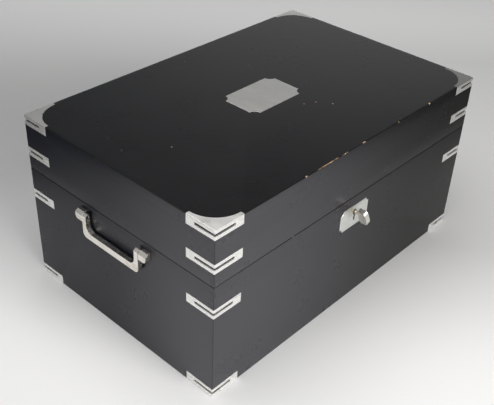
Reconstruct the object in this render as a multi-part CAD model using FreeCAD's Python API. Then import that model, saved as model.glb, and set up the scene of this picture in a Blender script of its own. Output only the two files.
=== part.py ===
import FreeCAD, Part
import os
from math import cos, radians, sin
from FreeCAD import Vector

# A cedar lined humidor: a black lacquered wooden chest with a hinged lid, nickel brackets let into
# its edges, a drop handle at each end, a box lock with its key, and a tray, humidifier and
# hygrometer inside. The frame has +X to the right, +Y to the back and +Z up, with its origin at the
# middle of the underside. All sizes are in millimetres.

# Carcase
LENGTH = 400.0
WIDTH = 260.0
HEIGHT = 193.0
LID_HEIGHT = 60.0
EDGE_ROUND = 0.7
WALL = 12.0
TOP_THICKNESS = 12.0
BOTTOM_THICKNESS = 9.0
BAIZE_THICKNESS = 1.5

# Cedar lining
LINING = 5.0
FLOOR_LINING = 4.0
LIP_HEIGHT = 7.0
LIP_CLEARANCE = 0.5
LIP_BEVEL = 1.2
LID_LINING_GAP = 1.0

# Brackets let into the edges
BRACKET_LEG = 34.0
BRACKET_HEIGHT = 10.3
BRACKET_THICKNESS = 1.5
BRACKET_SLOT = 2.7
BRACKET_SLOT_REACH = 24.0
LID_BRACKET_ABOVE_SEAM = 19.8
BASE_BRACKET_BELOW_SEAM = 30.2
CORNER_PLATE_BORDER = 4.0

# Name plate
PLATE_LENGTH = 76.0
PLATE_WIDTH = 49.0
PLATE_SCOOP = 7.5
PLATE_THICKNESS = 1.5

# Escutcheon and keyhole
LOCK_X = -2.0
KEY_BELOW_SEAM = 19.5
ESCUTCHEON_LENGTH = 44.7
ESCUTCHEON_HEIGHT = 25.6
ESCUTCHEON_SCOOP = 4.0
ESCUTCHEON_THICKNESS = 1.5
ESCUTCHEON_PROUD = 0.5
ESCUTCHEON_BELOW_SEAM = 23.7
PLATE_BEVEL = 0.35
KEYHOLE_RADIUS = 3.0
KEYHOLE_SLOT = 2.4
KEYHOLE_REACH = 9.5

# Box lock
LOCK_SKIN = 3.5
LOCK_SHEET = 1.0
LOCK_CASE_LEFT = 33.0
LOCK_CASE_RIGHT = 23.5
LOCK_CASE_BELOW_KEY = 13.5
SELVEDGE_HALF_LENGTH = 40.0
SELVEDGE_WIDTH = 8.5
SELVEDGE_THICKNESS = 2.0
LOCK_SCREW_INSET = 4.0
LOCK_RUNNING_GAP = 0.2
LOCK_RIB_HEIGHT = 2.5
LOCK_RIB_ABOVE_BAR_FOOT = 1.0

# Catch on the lid
CATCH_HALF_LENGTH = 34.0
EYE_OFFSET = 20.0
EYE_THICKNESS = 2.0
EYE_WIDTH = 5.5
EYE_DROP = 11.3
EYE_WALL = 1.15
EYE_GAP = 0.8

# Bolt
BOLT_THICKNESS = 2.2
BOLT_TRAVEL = 6.0
BOLT_BAR = 4.7
BOLT_ABOVE_SHAFT = 1.2
TONGUE_LENGTH = 3.5
BOLT_UPRIGHT = 4.0
BOLT_TONGUE = 3.0
BOLT_REACH = 3.0
BOLT_FRAME = 16.0
BOLT_LEG = 4.0
TALON_HALF_WIDTH = 4.2
TALON_TOP_BELOW_KEY = 4.5

# Key
KEY_RADIUS = 1.8
KEY_BORE_GAP = 0.05
DRILL_PIN_RADIUS = 0.85
KEY_BIT_RADIUS = 8.6
KEY_BIT_THICKNESS = 1.8
KEY_BIT_LENGTH = 3.5
KEY_TURN = 90.0
KEY_REST_TURN = 24.0
BOW_START = 6.6
BOW_DEPTH = 9.6
BOW_WIDTH = 5.4
BOW_ABOVE = 7.6
BOW_BELOW = 10.6
BOW_ROUND = 3.2
BOW_CHAMFER = 1.8

# End handles
HANDLE_LENGTH = 101.0
HANDLE_DEPTH = 6.7
POST_WIDTH = 10.2
POST_HEIGHT = 9.5
POST_ROUND = 4.0
HANDLE_TOP_BELOW_SEAM = 8.0
BAIL_THICKNESS = 5.0
BAIL_LEG = 5.4
BAIL_BAR = 7.0
BAIL_DROP = 26.2
BAIL_OUTER_ROUND = 5.5
BAIL_INNER_ROUND = 7.5
BAIL_SIDE_GAP = 0.25
BAIL_HEEL_ROUND = 2.0
PIVOT_RADIUS = 1.5
PIVOT_GAP = 0.05
PIVOT_FROM_WALL = 4.5
PIVOT_BELOW_TOP = 3.9
PIVOT_IN_POST = 3.0
HANDLE_SCREW_RADIUS = 1.5
HANDLE_SCREW_BITE = 4.0
SMALL_ROUND = 0.5

# Stop hinges
HINGE_OFFSET = 120.0
HINGE_LENGTH = 40.0
HINGE_KNUCKLES = 5
HINGE_KNUCKLE_GAP = 0.2
HINGE_BARREL_RADIUS = 2.8
HINGE_PIN_RADIUS = 1.3
HINGE_PIN_GAP = 0.05
HINGE_OUT = 3.0
HINGE_LEAF_THICKNESS = 1.5
HINGE_LEAF_DEPTH = 11.0
HINGE_SCREW_PITCH = 14.0
HINGE_OPENING = 95.0
HEEL_INNER_RADIUS = 3.0
HEEL_OUTER_RADIUS = 6.4
HEEL_SWEEP = 34.0
HEEL_GAP_ANGLE = 0.25

# Countersunk screws
SCREW_RADIUS = 1.2
SCREW_HEAD_RADIUS = 2.3
SCREW_HEAD_DEPTH = 1.3
SCREW_LENGTH = 9.0
SCREW_SUNK = 0.1
SCREW_SLOT = 0.6
SCREW_SLOT_DEPTH = 0.5

# Tray and its runners
RUNNER = 8.0
TRAY_CLEARANCE = 0.8
TRAY_HEIGHT = 32.0
TRAY_TOP_BELOW_SEAM = 3.0
TRAY_BOARD = 6.0
TRAY_FLOOR = 4.0
NOTCH_LENGTH = 70.0
NOTCH_DEPTH = 13.0
NOTCH_ROUND = 6.0
DIVIDER_THICKNESS = 5.0
DIVIDER_HEIGHT = 24.0
DIVIDER_X = 50.0
DIVIDER_GAP = 0.2

# Humidifier under the lid
HUMIDIFIER_X = -75.0
HUMIDIFIER_LENGTH = 120.0
HUMIDIFIER_WIDTH = 52.0
HUMIDIFIER_DEPTH = 14.0
HUMIDIFIER_WALL = 1.8
HUMIDIFIER_ROUND = 5.0
HUMIDIFIER_SLOTS = 12
HUMIDIFIER_SLOT_WIDTH = 3.0
HUMIDIFIER_SLOT_MARGIN = 7.0
HUMIDIFIER_PLATE = 1.5
SPONGE_GAP = 0.2

# Hygrometer under the lid
HYGROMETER_X = 85.0
HYGROMETER_RADIUS = 28.0
HYGROMETER_DEPTH = 14.0
HYGROMETER_WALL = 2.0
HYGROMETER_BACK = 1.5
BEZEL_WIDTH = 1.4
BEZEL_DEPTH = 0.8
LENS_THICKNESS = 1.5
LENS_TO_NEEDLE = 0.6
NEEDLE_THICKNESS = 0.5
NEEDLE_TO_DIAL = 0.6
DIAL_THICKNESS = 0.8
DIAL_SEAT = 3.5
NEEDLE_LENGTH = 19.0
NEEDLE_TAIL = 6.0
NEEDLE_HALF_WIDTH = 1.0
NEEDLE_TIP_HALF_WIDTH = 0.2
NEEDLE_HUB_RADIUS = 2.2
ARBOR_RADIUS = 0.6
ARBOR_GAP = 0.05
NEEDLE_REST_ANGLE = 310.0

# Levels and places that follow from the sizes above
LEFT = -LENGTH / 2
RIGHT = LENGTH / 2
FRONT = -WIDTH / 2
BACK = WIDTH / 2
SEAM = HEIGHT - LID_HEIGHT
TOP_UNDERSIDE = HEIGHT - TOP_THICKNESS
FLOOR_UNDERSIDE = BAIZE_THICKNESS + BOTTOM_THICKNESS
FLOOR_TOP = FLOOR_UNDERSIDE + FLOOR_LINING
LIP_TOP = SEAM + LIP_HEIGHT
KEY_Z = SEAM - KEY_BELOW_SEAM
ESCUTCHEON_Z = SEAM - ESCUTCHEON_BELOW_SEAM
HANDLE_TOP = SEAM - HANDLE_TOP_BELOW_SEAM
RUNNER_TOP = SEAM - TRAY_TOP_BELOW_SEAM - TRAY_HEIGHT
CEILING = TOP_UNDERSIDE - LINING
INSIDE_X = LENGTH / 2 - WALL
INSIDE_Y = WIDTH / 2 - WALL
LINED_X = INSIDE_X - LINING
LINED_Y = INSIDE_Y - LINING
HINGE_Y = BACK + HINGE_OUT
PIVOT_Z = HANDLE_TOP - PIVOT_BELOW_TOP
LOCK_FRONT = FRONT + LOCK_SKIN
LOCK_BACK = FRONT + WALL
BOLT_PLANE = (LOCK_FRONT + LOCK_BACK) / 2
FACES = ("front", "right", "back", "left")


def block(x0, x1, y0, y1, z0, z1):
    """A rectangular block between three pairs of limits."""
    return Part.makeBox(x1 - x0, y1 - y0, z1 - z0, Vector(x0, y0, z0))


def prism(points, low, high):
    """A plan outline, as corner points, raised from one level to another."""
    loop = [Vector(p[0], p[1], low) for p in points]
    face = Part.Face(Part.makePolygon(loop + loop[:1]))
    return face.extrude(Vector(0, 0, high - low))


def along(shape, axis, *places):
    """The shape's edges that run along one axis, 0 to 2, and pass near any of the places."""
    chosen = []
    for edge in shape.Edges:
        ends = [v.Point for v in edge.Vertexes]
        if len(ends) != 2:
            continue
        run = ends[1] - ends[0]
        size = [abs(run.x), abs(run.y), abs(run.z)]
        if size[axis] < 0.9 * run.Length:
            continue
        middle = (ends[0] + ends[1]) * 0.5
        for place in places:
            gap = [middle.x - place[0], middle.y - place[1], middle.z - place[2]]
            gap[axis] = 0.0
            if max(abs(g) for g in gap) < 0.01:
                chosen.append(edge)
    return chosen


def group(shapes):
    """Separate solids kept together as one group."""
    solids = [solid for shape in shapes for solid in shape.Solids]
    return Part.makeCompound(solids)


def mirrored_x(shape):
    return shape.mirror(Vector(0, 0, 0), Vector(1, 0, 0))


def mirrored_y(shape):
    return shape.mirror(Vector(0, 0, 0), Vector(0, 1, 0))


def at_four_corners(shape):
    """A piece of the front left corner, copied to the other three corners."""
    pair = [shape, mirrored_x(shape)]
    return pair + [mirrored_y(s) for s in pair]


def countersunk_screw(head, way, length=SCREW_LENGTH, radius=SCREW_RADIUS, head_radius=SCREW_HEAD_RADIUS):
    """A slotted screw whose head starts at a point and whose shank goes along a unit vector."""
    way = Vector(*way)
    start = Vector(*head) + way * SCREW_SUNK
    cone = Part.makeCone(head_radius, radius, SCREW_HEAD_DEPTH, start, way)
    shank = Part.makeCylinder(radius, length, start, way)
    return cone.fuse(shank).removeSplitter()


def slotted(screw, head, way):
    """Cuts the driver's slot into the head of a screw."""
    way = Vector(*way)
    start = Vector(*head)
    reach = 4 * SCREW_HEAD_RADIUS
    depth = SCREW_SUNK + SCREW_SLOT_DEPTH
    cutter = Part.makeBox(reach, SCREW_SLOT, depth, Vector(-reach / 2, -SCREW_SLOT / 2, 0))
    cutter.Placement = FreeCAD.Placement(start, FreeCAD.Rotation(Vector(0, 0, 1), way))
    return screw.cut(cutter)


def scooped_plate(length, width, scoop, thickness, bevel):
    """A flat plate about the origin with a quarter circle cut out of each corner."""
    plate = block(-length / 2, length / 2, -width / 2, width / 2, 0, thickness)
    for x in (-length / 2, length / 2):
        for y in (-width / 2, width / 2):
            plate = plate.cut(Part.makeCylinder(scoop, thickness, Vector(x, y, 0)))
    rim = [e for e in plate.Edges if min(v.Z for v in e.Vertexes) > thickness - 0.01]
    return plate.makeChamfer(bevel, rim)


# Carcase


def envelope(low, high):
    """The lacquered outside of the base or of the lid, with its edges softened."""
    shape = block(LEFT, RIGHT, FRONT, BACK, low, high)
    return shape.makeFillet(EDGE_ROUND, shape.Edges)


def mitred_board(side, low, high):
    """One of four boards whose ends meet the next board in a mitre."""
    outer = [(LEFT, FRONT), (RIGHT, FRONT), (RIGHT, BACK), (LEFT, BACK)]
    inner = [(-INSIDE_X, -INSIDE_Y), (INSIDE_X, -INSIDE_Y), (INSIDE_X, INSIDE_Y), (-INSIDE_X, INSIDE_Y)]
    following = (side + 1) % 4
    return prism([outer[side], outer[following], inner[following], inner[side]], low, high)


def base_panel(side, cutters):
    board = mitred_board(side, 0, SEAM).common(envelope(0, SEAM))
    return board.cut(cutters)


def lid_rail(side, cutters):
    board = mitred_board(side, SEAM, TOP_UNDERSIDE).common(envelope(SEAM, HEIGHT))
    return board.cut(cutters)


def top_panel(cutters):
    slab = block(LEFT, RIGHT, FRONT, BACK, TOP_UNDERSIDE, HEIGHT)
    return slab.common(envelope(SEAM, HEIGHT)).cut(cutters)


def bottom_panel():
    return block(-INSIDE_X, INSIDE_X, -INSIDE_Y, INSIDE_Y, BAIZE_THICKNESS, FLOOR_UNDERSIDE)


def baize_pad():
    return block(-INSIDE_X, INSIDE_X, -INSIDE_Y, INSIDE_Y, 0, BAIZE_THICKNESS)


# Cedar lining


def floor_lining():
    return block(-INSIDE_X, INSIDE_X, -INSIDE_Y, INSIDE_Y, FLOOR_UNDERSIDE, FLOOR_TOP)


def base_lining():
    """Four boards that stand on the cedar floor. Their tops rise past the seam as a lip."""
    lip_y = INSIDE_Y - LIP_CLEARANCE
    lip_x = INSIDE_X - LIP_CLEARANCE
    long_board = block(-INSIDE_X, INSIDE_X, -INSIDE_Y, -LINED_Y, FLOOR_TOP, SEAM)
    long_lip = block(-lip_x, lip_x, -lip_y, -LINED_Y, SEAM, LIP_TOP)
    long_lip = long_lip.makeChamfer(LIP_BEVEL, along(long_lip, 0, (0, -lip_y, LIP_TOP)))
    front = long_board.fuse(long_lip)
    short_board = block(-INSIDE_X, -LINED_X, -LINED_Y, LINED_Y, FLOOR_TOP, SEAM)
    short_lip = block(-lip_x, -LINED_X, -LINED_Y, LINED_Y, SEAM, LIP_TOP)
    short_lip = short_lip.makeChamfer(LIP_BEVEL, along(short_lip, 1, (-lip_x, 0, LIP_TOP)))
    left = short_board.fuse(short_lip)
    return group([front, mirrored_y(front), left, mirrored_x(left)])


def tray_runners():
    """Two cedar strips along the front and back linings, on which the tray rests."""
    strip = block(-LINED_X, LINED_X, -LINED_Y, -LINED_Y + RUNNER, RUNNER_TOP - RUNNER, RUNNER_TOP)
    strip = strip.makeChamfer(1.0, along(strip, 0, (0, -LINED_Y + RUNNER, RUNNER_TOP)))
    return group([strip, mirrored_y(strip)])


def lid_lining():
    low = LIP_TOP + LID_LINING_GAP
    front = block(-INSIDE_X, INSIDE_X, -INSIDE_Y, -LINED_Y, low, CEILING)
    left = block(-INSIDE_X, -LINED_X, -LINED_Y, LINED_Y, low, CEILING)
    return group([front, mirrored_y(front), left, mirrored_x(left)])


def lid_ceiling():
    return block(-INSIDE_X, INSIDE_X, -INSIDE_Y, INSIDE_Y, CEILING, TOP_UNDERSIDE)


# Brackets let into the edges


def corner_square(size, low, high):
    return block(LEFT, LEFT + size, FRONT, FRONT + size, low, high)


def edge_angle(low, high):
    """An angle of sheet that wraps one vertical edge, flush with the lacquer, before it is slotted."""
    t = BRACKET_THICKNESS
    core = block(LEFT + t, RIGHT - t, FRONT + t, BACK - t, low, high)
    return corner_square(BRACKET_LEG, low, high).cut(core)


def corner_plate():
    """The plate on top of a corner bracket, whose inner edge is a concave quarter circle."""
    plate = corner_square(BRACKET_LEG, HEIGHT - BRACKET_THICKNESS, HEIGHT)
    centre = Vector(LEFT + BRACKET_LEG, FRONT + BRACKET_LEG, HEIGHT - BRACKET_THICKNESS)
    return plate.cut(Part.makeCylinder(BRACKET_LEG - CORNER_PLATE_BORDER, BRACKET_THICKNESS, centre))


def bracket_slot(low, high):
    middle = (low + high) / 2
    return corner_square(BRACKET_SLOT_REACH, middle - BRACKET_SLOT / 2, middle + BRACKET_SLOT / 2)


def bracket_rows():
    """The bottom and top of each of the four rows of brackets."""
    half = BRACKET_HEIGHT / 2
    lid_middle = SEAM + LID_BRACKET_ABOVE_SEAM
    base_middle = SEAM - BASE_BRACKET_BELOW_SEAM
    return {
        "lid_corner_brackets": (HEIGHT - BRACKET_HEIGHT, HEIGHT),
        "lid_edge_brackets": (lid_middle - half, lid_middle + half),
        "base_edge_brackets": (base_middle - half, base_middle + half),
        "foot_brackets": (0, BRACKET_HEIGHT),
    }


def bracket_levels():
    """The rows of brackets, and the recesses for them, which stay open behind their slots."""
    outside = envelope(SEAM, HEIGHT).fuse(envelope(0, SEAM))
    brackets = {}
    recesses = {}
    for name, (low, high) in bracket_rows().items():
        blank = edge_angle(low, high)
        if name == "lid_corner_brackets":
            blank = blank.fuse(corner_plate()).removeSplitter()
        bracket = blank.cut(bracket_slot(low, high)).common(outside)
        brackets[name] = group(at_four_corners(bracket))
        recesses[name] = group(at_four_corners(blank))
    return brackets, recesses


def name_plate():
    plate = scooped_plate(PLATE_LENGTH, PLATE_WIDTH, PLATE_SCOOP, PLATE_THICKNESS, PLATE_BEVEL)
    plate.translate(Vector(0, 0, HEIGHT - PLATE_THICKNESS))
    return plate


# Escutcheon, lock, bolt, catch and key


def keyhole(y0, y1, radius, slot, reach):
    """The cutter for a keyhole: a round hole with a slot below it."""
    round_part = Part.makeCylinder(radius, y1 - y0, Vector(LOCK_X, y0, KEY_Z), Vector(0, 1, 0))
    slot_part = block(LOCK_X - slot / 2, LOCK_X + slot / 2, y0, y1, KEY_Z - reach, KEY_Z)
    return round_part.fuse(slot_part)


def escutcheon_blank():
    """The plate round the keyhole, before the keyhole is cut, a little proud of the lacquer."""
    plate = scooped_plate(
        ESCUTCHEON_LENGTH, ESCUTCHEON_HEIGHT, ESCUTCHEON_SCOOP, ESCUTCHEON_THICKNESS, PLATE_BEVEL
    )
    plate.rotate(Vector(0, 0, 0), Vector(1, 0, 0), 90)
    plate.translate(Vector(LOCK_X, FRONT - ESCUTCHEON_PROUD + ESCUTCHEON_THICKNESS, ESCUTCHEON_Z))
    return plate


def keyhole_space():
    """The keyhole through the escutcheon and the wood in front of the lock."""
    return keyhole(FRONT - ESCUTCHEON_PROUD, LOCK_FRONT, KEYHOLE_RADIUS, KEYHOLE_SLOT, KEYHOLE_REACH)


def escutcheon():
    return escutcheon_blank().cut(keyhole_space())


def lock_space():
    """The mortise for the lock case, open to the inside and at the rim."""
    return block(
        LOCK_X - LOCK_CASE_LEFT, LOCK_X + LOCK_CASE_RIGHT, LOCK_FRONT, LOCK_BACK,
        KEY_Z - LOCK_CASE_BELOW_KEY, SEAM - SELVEDGE_THICKNESS,
    )


def guide_rib(y0, y1):
    """A rib inside the case that keeps the bolt's bar in its plane."""
    low = bolt_bar_low() + LOCK_RIB_ABOVE_BAR_FOOT
    inside_left = LOCK_X - LOCK_CASE_LEFT + LOCK_SHEET
    inside_right = LOCK_X + LOCK_CASE_RIGHT - LOCK_SHEET
    return block(inside_left, inside_right, y0, y1, low, low + LOCK_RIB_HEIGHT)


def bolt_bar_low():
    """The underside of the bolt's bar, just above the key's shaft."""
    return KEY_Z + KEY_RADIUS + BOLT_ABOVE_SHAFT


def lock_case():
    """A folded steel box, open at the back and at the top."""
    inside = block(
        LOCK_X - LOCK_CASE_LEFT + LOCK_SHEET, LOCK_X + LOCK_CASE_RIGHT - LOCK_SHEET,
        LOCK_FRONT + LOCK_SHEET, LOCK_BACK,
        KEY_Z - LOCK_CASE_BELOW_KEY + LOCK_SHEET, SEAM,
    )
    case = lock_space().cut(inside)
    rib = guide_rib(LOCK_FRONT + LOCK_SHEET, BOLT_PLANE - BOLT_THICKNESS / 2 - LOCK_RUNNING_GAP)
    hole = keyhole(
        LOCK_FRONT, LOCK_FRONT + LOCK_SHEET,
        KEY_RADIUS + KEY_BORE_GAP, KEYHOLE_SLOT, KEYHOLE_REACH,
    )
    return case.fuse(rib).cut(hole)


def lock_cover():
    """The plate that closes the back of the lock, with the drill pin that the key's barrel fits."""
    plate = block(
        LOCK_X - LOCK_CASE_LEFT + LOCK_SHEET, LOCK_X + LOCK_CASE_RIGHT - LOCK_SHEET,
        LOCK_BACK - LOCK_SHEET, LOCK_BACK,
        KEY_Z - LOCK_CASE_BELOW_KEY + LOCK_SHEET, SEAM - SELVEDGE_THICKNESS,
    )
    rib = guide_rib(BOLT_PLANE + BOLT_THICKNESS / 2 + LOCK_RUNNING_GAP, LOCK_BACK - LOCK_SHEET)
    length = LOCK_BACK - LOCK_SHEET - LOCK_FRONT - 2 * LOCK_SHEET
    start = Vector(LOCK_X, LOCK_BACK - LOCK_SHEET, KEY_Z)
    drill_pin = Part.makeCylinder(DRILL_PIN_RADIUS, length, start, Vector(0, -1, 0))
    return plate.fuse([rib, drill_pin]).removeSplitter()


def eye_places():
    return (LOCK_X - EYE_OFFSET, LOCK_X + EYE_OFFSET)


def lock_screw_heads(half_length):
    """Where the two screws of a lock plate go, as plan points."""
    reach = half_length - LOCK_SCREW_INSET
    y = (LOCK_FRONT + LOCK_BACK) / 2
    return [(LOCK_X - reach, y), (LOCK_X + reach, y)]


def lock_screws():
    heads = [(x, y, SEAM) for x, y in lock_screw_heads(SELVEDGE_HALF_LENGTH)]
    return group([slotted(countersunk_screw(h, (0, 0, -1)), h, (0, 0, -1)) for h in heads])


def lock_screw_space():
    heads = [(x, y, SEAM) for x, y in lock_screw_heads(SELVEDGE_HALF_LENGTH)]
    shapes = [countersunk_screw(h, (0, 0, -1)) for h in heads]
    discs = [Part.makeCylinder(SCREW_HEAD_RADIUS, SCREW_SUNK, Vector(*h), Vector(0, 0, -1)) for h in heads]
    return group(shapes + discs)


def rim_plate(half_length, z0, z1):
    """The blank of a lock plate let into a rim, open to the inside of the box."""
    return block(LOCK_X - half_length, LOCK_X + half_length, LOCK_BACK - SELVEDGE_WIDTH, LOCK_BACK, z0, z1)


def selvedge_blank():
    return rim_plate(SELVEDGE_HALF_LENGTH, SEAM - SELVEDGE_THICKNESS, SEAM)


def lock_selvedge():
    """The plate flush with the rim, with two windows for the catch's eyes."""
    plate = selvedge_blank()
    half_x = EYE_THICKNESS / 2 + EYE_GAP
    half_y = EYE_WIDTH / 2 + EYE_GAP
    for x in eye_places():
        window = block(
            x - half_x, x + half_x, BOLT_PLANE - half_y, BOLT_PLANE + half_y, SEAM - SELVEDGE_THICKNESS, SEAM
        )
        plate = plate.cut(window)
    return plate.cut(lock_screw_space())


def tongue_levels():
    """The bottom and top of the bolt's tongues, in the middle of the eyes' windows."""
    low = SEAM - EYE_DROP + EYE_WALL + 2 * LOCK_RUNNING_GAP
    return low, low + BOLT_TONGUE


def catch_blank():
    return rim_plate(CATCH_HALF_LENGTH, SEAM, SEAM + SELVEDGE_THICKNESS)


def lock_catch():
    """The lid's plate with two eyes that drop through the selvedge."""
    low, high = tongue_levels()
    shapes = []
    for x in eye_places():
        half_x = EYE_THICKNESS / 2
        half_y = EYE_WIDTH / 2
        eye = block(x - half_x, x + half_x, BOLT_PLANE - half_y, BOLT_PLANE + half_y, SEAM - EYE_DROP, SEAM)
        hole_y = half_y - EYE_WALL
        hole = block(
            x - EYE_THICKNESS, x + EYE_THICKNESS, BOLT_PLANE - hole_y, BOLT_PLANE + hole_y,
            low - 2 * LOCK_RUNNING_GAP, high + 2 * LOCK_RUNNING_GAP,
        )
        shapes.append(eye.cut(hole))
    return catch_blank().fuse(shapes).cut(catch_screw_space())


def catch_screw_heads():
    return [(x, y, SEAM) for x, y in lock_screw_heads(CATCH_HALF_LENGTH)]


def catch_screws():
    up = (0, 0, 1)
    return group([slotted(countersunk_screw(h, up), h, up) for h in catch_screw_heads()])


def catch_screw_space():
    heads = catch_screw_heads()
    shapes = [countersunk_screw(h, (0, 0, 1)) for h in heads]
    discs = [Part.makeCylinder(SCREW_HEAD_RADIUS, SCREW_SUNK, Vector(*h)) for h in heads]
    return group(shapes + discs)


def lock_bolt():
    """A sliding bolt with two hooked tongues and, round the key, a frame with the talon notch.

    It is drawn unlocked, then moved by the share of its travel that the key's turn at rest gives."""
    y0 = BOLT_PLANE - BOLT_THICKNESS / 2
    y1 = BOLT_PLANE + BOLT_THICKNESS / 2
    bar_low = bolt_bar_low()
    bar_high = bar_low + BOLT_BAR
    tongue_low, tongue_high = tongue_levels()
    shapes = []
    for eye in eye_places():
        tip = eye - EYE_THICKNESS / 2 - BOLT_REACH
        root = tip - TONGUE_LENGTH
        shapes.append(block(root - BOLT_UPRIGHT, root, y0, y1, bar_low, tongue_high))
        shapes.append(block(root - BOLT_UPRIGHT, tip, y0, y1, tongue_low, tongue_high))
    left_end = min(s.BoundBox.XMin for s in shapes)
    right_end = LOCK_X + BOLT_FRAME
    shapes.append(block(left_end, right_end, y0, y1, bar_low, bar_high))
    bottom = KEY_Z - LOCK_CASE_BELOW_KEY + LOCK_SHEET + LOCK_RUNNING_GAP
    for x in (LOCK_X - BOLT_FRAME, LOCK_X + BOLT_FRAME - BOLT_LEG):
        shapes.append(block(x, x + BOLT_LEG, y0, y1, bottom, bar_high))
    talon_top = KEY_Z - TALON_TOP_BELOW_KEY
    shapes.append(block(LOCK_X - BOLT_FRAME, LOCK_X + BOLT_FRAME, y0, y1, bottom, talon_top))
    bolt = shapes[0].fuse(shapes[1:])
    notch_floor = KEY_Z - KEY_BIT_RADIUS - 3 * LOCK_RUNNING_GAP
    notch = block(
        LOCK_X - TALON_HALF_WIDTH, LOCK_X + TALON_HALF_WIDTH, y0 - 1, y1 + 1, notch_floor, talon_top + 1
    )
    bolt = bolt.cut(notch).removeSplitter()
    bolt.translate(Vector(BOLT_TRAVEL * KEY_REST_TURN / KEY_TURN, 0, 0))
    return bolt


def key():
    """A barrel key: block bow, round shaft and flat bit, part turned in the lock."""
    bow_back = FRONT - BOW_START
    bow_front = bow_back - BOW_DEPTH
    bow = block(
        LOCK_X - BOW_WIDTH / 2, LOCK_X + BOW_WIDTH / 2, bow_front, bow_back,
        KEY_Z - BOW_BELOW, KEY_Z + BOW_ABOVE,
    )
    lower = [(0, bow_front, KEY_Z - BOW_BELOW), (0, bow_back, KEY_Z - BOW_BELOW)]
    bow = bow.makeFillet(BOW_ROUND, along(bow, 0, *lower))
    bow = bow.makeChamfer(BOW_CHAMFER, along(bow, 0, (0, bow_front, KEY_Z + BOW_ABOVE)))
    tip = LOCK_BACK - LOCK_SHEET - 3 * LOCK_RUNNING_GAP
    shaft_start = Vector(LOCK_X, bow_back - 1, KEY_Z)
    shaft = Part.makeCylinder(KEY_RADIUS, tip - bow_back + 1, shaft_start, Vector(0, 1, 0))
    half = KEY_BIT_THICKNESS / 2
    bit = block(
        LOCK_X - half, LOCK_X + half, BOLT_PLANE - KEY_BIT_LENGTH / 2, BOLT_PLANE + KEY_BIT_LENGTH / 2,
        KEY_Z - KEY_BIT_RADIUS, KEY_Z,
    )
    bore_depth = LOCK_BACK - LOCK_FRONT - LOCK_SHEET
    bore_start = Vector(LOCK_X, tip - bore_depth, KEY_Z)
    bore = Part.makeCylinder(DRILL_PIN_RADIUS + KEY_BORE_GAP, bore_depth + 1, bore_start, Vector(0, 1, 0))
    shape = bow.fuse([shaft, bit]).cut(bore)
    shape.rotate(Vector(LOCK_X, 0, KEY_Z), Vector(0, -1, 0), KEY_REST_TURN)
    return shape


# End handles, drawn at the left end and mirrored to the right


def handle_post():
    """The back post of the left handle: a block with one corner rounded off."""
    half = HANDLE_LENGTH / 2
    low = HANDLE_TOP - POST_HEIGHT
    out = LEFT - HANDLE_DEPTH
    post = block(out, LEFT, half - POST_WIDTH, half, low, HANDLE_TOP)
    post = post.makeFillet(POST_ROUND, along(post, 0, (0, half, low)))
    rim = [e for e in post.Edges if max(v.X for v in e.Vertexes) < out + 0.01]
    return post.makeChamfer(SMALL_ROUND, rim)


def pivot_start():
    """The inner end of the back pivot pin, flush with the leg's inner side."""
    leg_inner = HANDLE_LENGTH / 2 - POST_WIDTH - BAIL_SIDE_GAP - BAIL_LEG
    return Vector(LEFT - PIVOT_FROM_WALL, leg_inner, PIVOT_Z)


def handle_pin():
    length = BAIL_LEG + BAIL_SIDE_GAP + PIVOT_IN_POST
    return Part.makeCylinder(PIVOT_RADIUS, length, pivot_start(), Vector(0, 1, 0))


def handle_screw():
    """A screw from inside the end panel into the post."""
    y = HANDLE_LENGTH / 2 - POST_WIDTH / 2 + HANDLE_SCREW_RADIUS / 4
    head = (LEFT + WALL, y, HANDLE_TOP - POST_HEIGHT / 2)
    way = (-1, 0, 0)
    length = WALL + HANDLE_SCREW_BITE
    solid = countersunk_screw(head, way, length, HANDLE_SCREW_RADIUS, SCREW_HEAD_RADIUS + 0.5)
    disc = Part.makeCylinder(SCREW_HEAD_RADIUS + 0.5, SCREW_SUNK, Vector(*head), Vector(*way))
    return slotted(solid, head, way), solid.fuse(disc)


def bail():
    """The swinging U: a flat bar and two legs, each with a hole for its pivot pin."""
    outer = HANDLE_LENGTH / 2 - POST_WIDTH - BAIL_SIDE_GAP
    inner = outer - BAIL_LEG
    bottom = HANDLE_TOP - BAIL_DROP
    x0 = LEFT - HANDLE_DEPTH
    x1 = x0 + BAIL_THICKNESS
    plate = block(x0, x1, -outer, outer, bottom, HANDLE_TOP)
    plate = plate.makeFillet(BAIL_OUTER_ROUND, along(plate, 0, (0, -outer, bottom), (0, outer, bottom)))
    inner_low = bottom + BAIL_BAR
    window = block(x0 - 1, x1 + 1, -inner, inner, inner_low, HANDLE_TOP + 1)
    window = window.makeFillet(
        BAIL_INNER_ROUND, along(window, 0, (0, -inner, inner_low), (0, inner, inner_low))
    )
    shape = plate.cut(window)
    heels = along(shape, 1, (x1, 0, HANDLE_TOP))
    shape = shape.makeFillet(BAIL_HEEL_ROUND, heels)
    for start in (pivot_start(), pivot_start() - Vector(0, 2 * inner + BAIL_LEG, 0)):
        hole_start = start - Vector(0, 1, 0)
        hole = Part.makeCylinder(PIVOT_RADIUS + PIVOT_GAP, BAIL_LEG + 2, hole_start, Vector(0, 1, 0))
        shape = shape.cut(hole)
    return soften_bail(shape, x0)


def soften_bail(shape, x0):
    """Breaks the sharp front edges of the bail."""
    rim = [e for e in shape.Edges if max(v.X for v in e.Vertexes) < x0 + 0.01]
    return shape.makeChamfer(SMALL_ROUND, rim)


# Stop hinges


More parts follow.
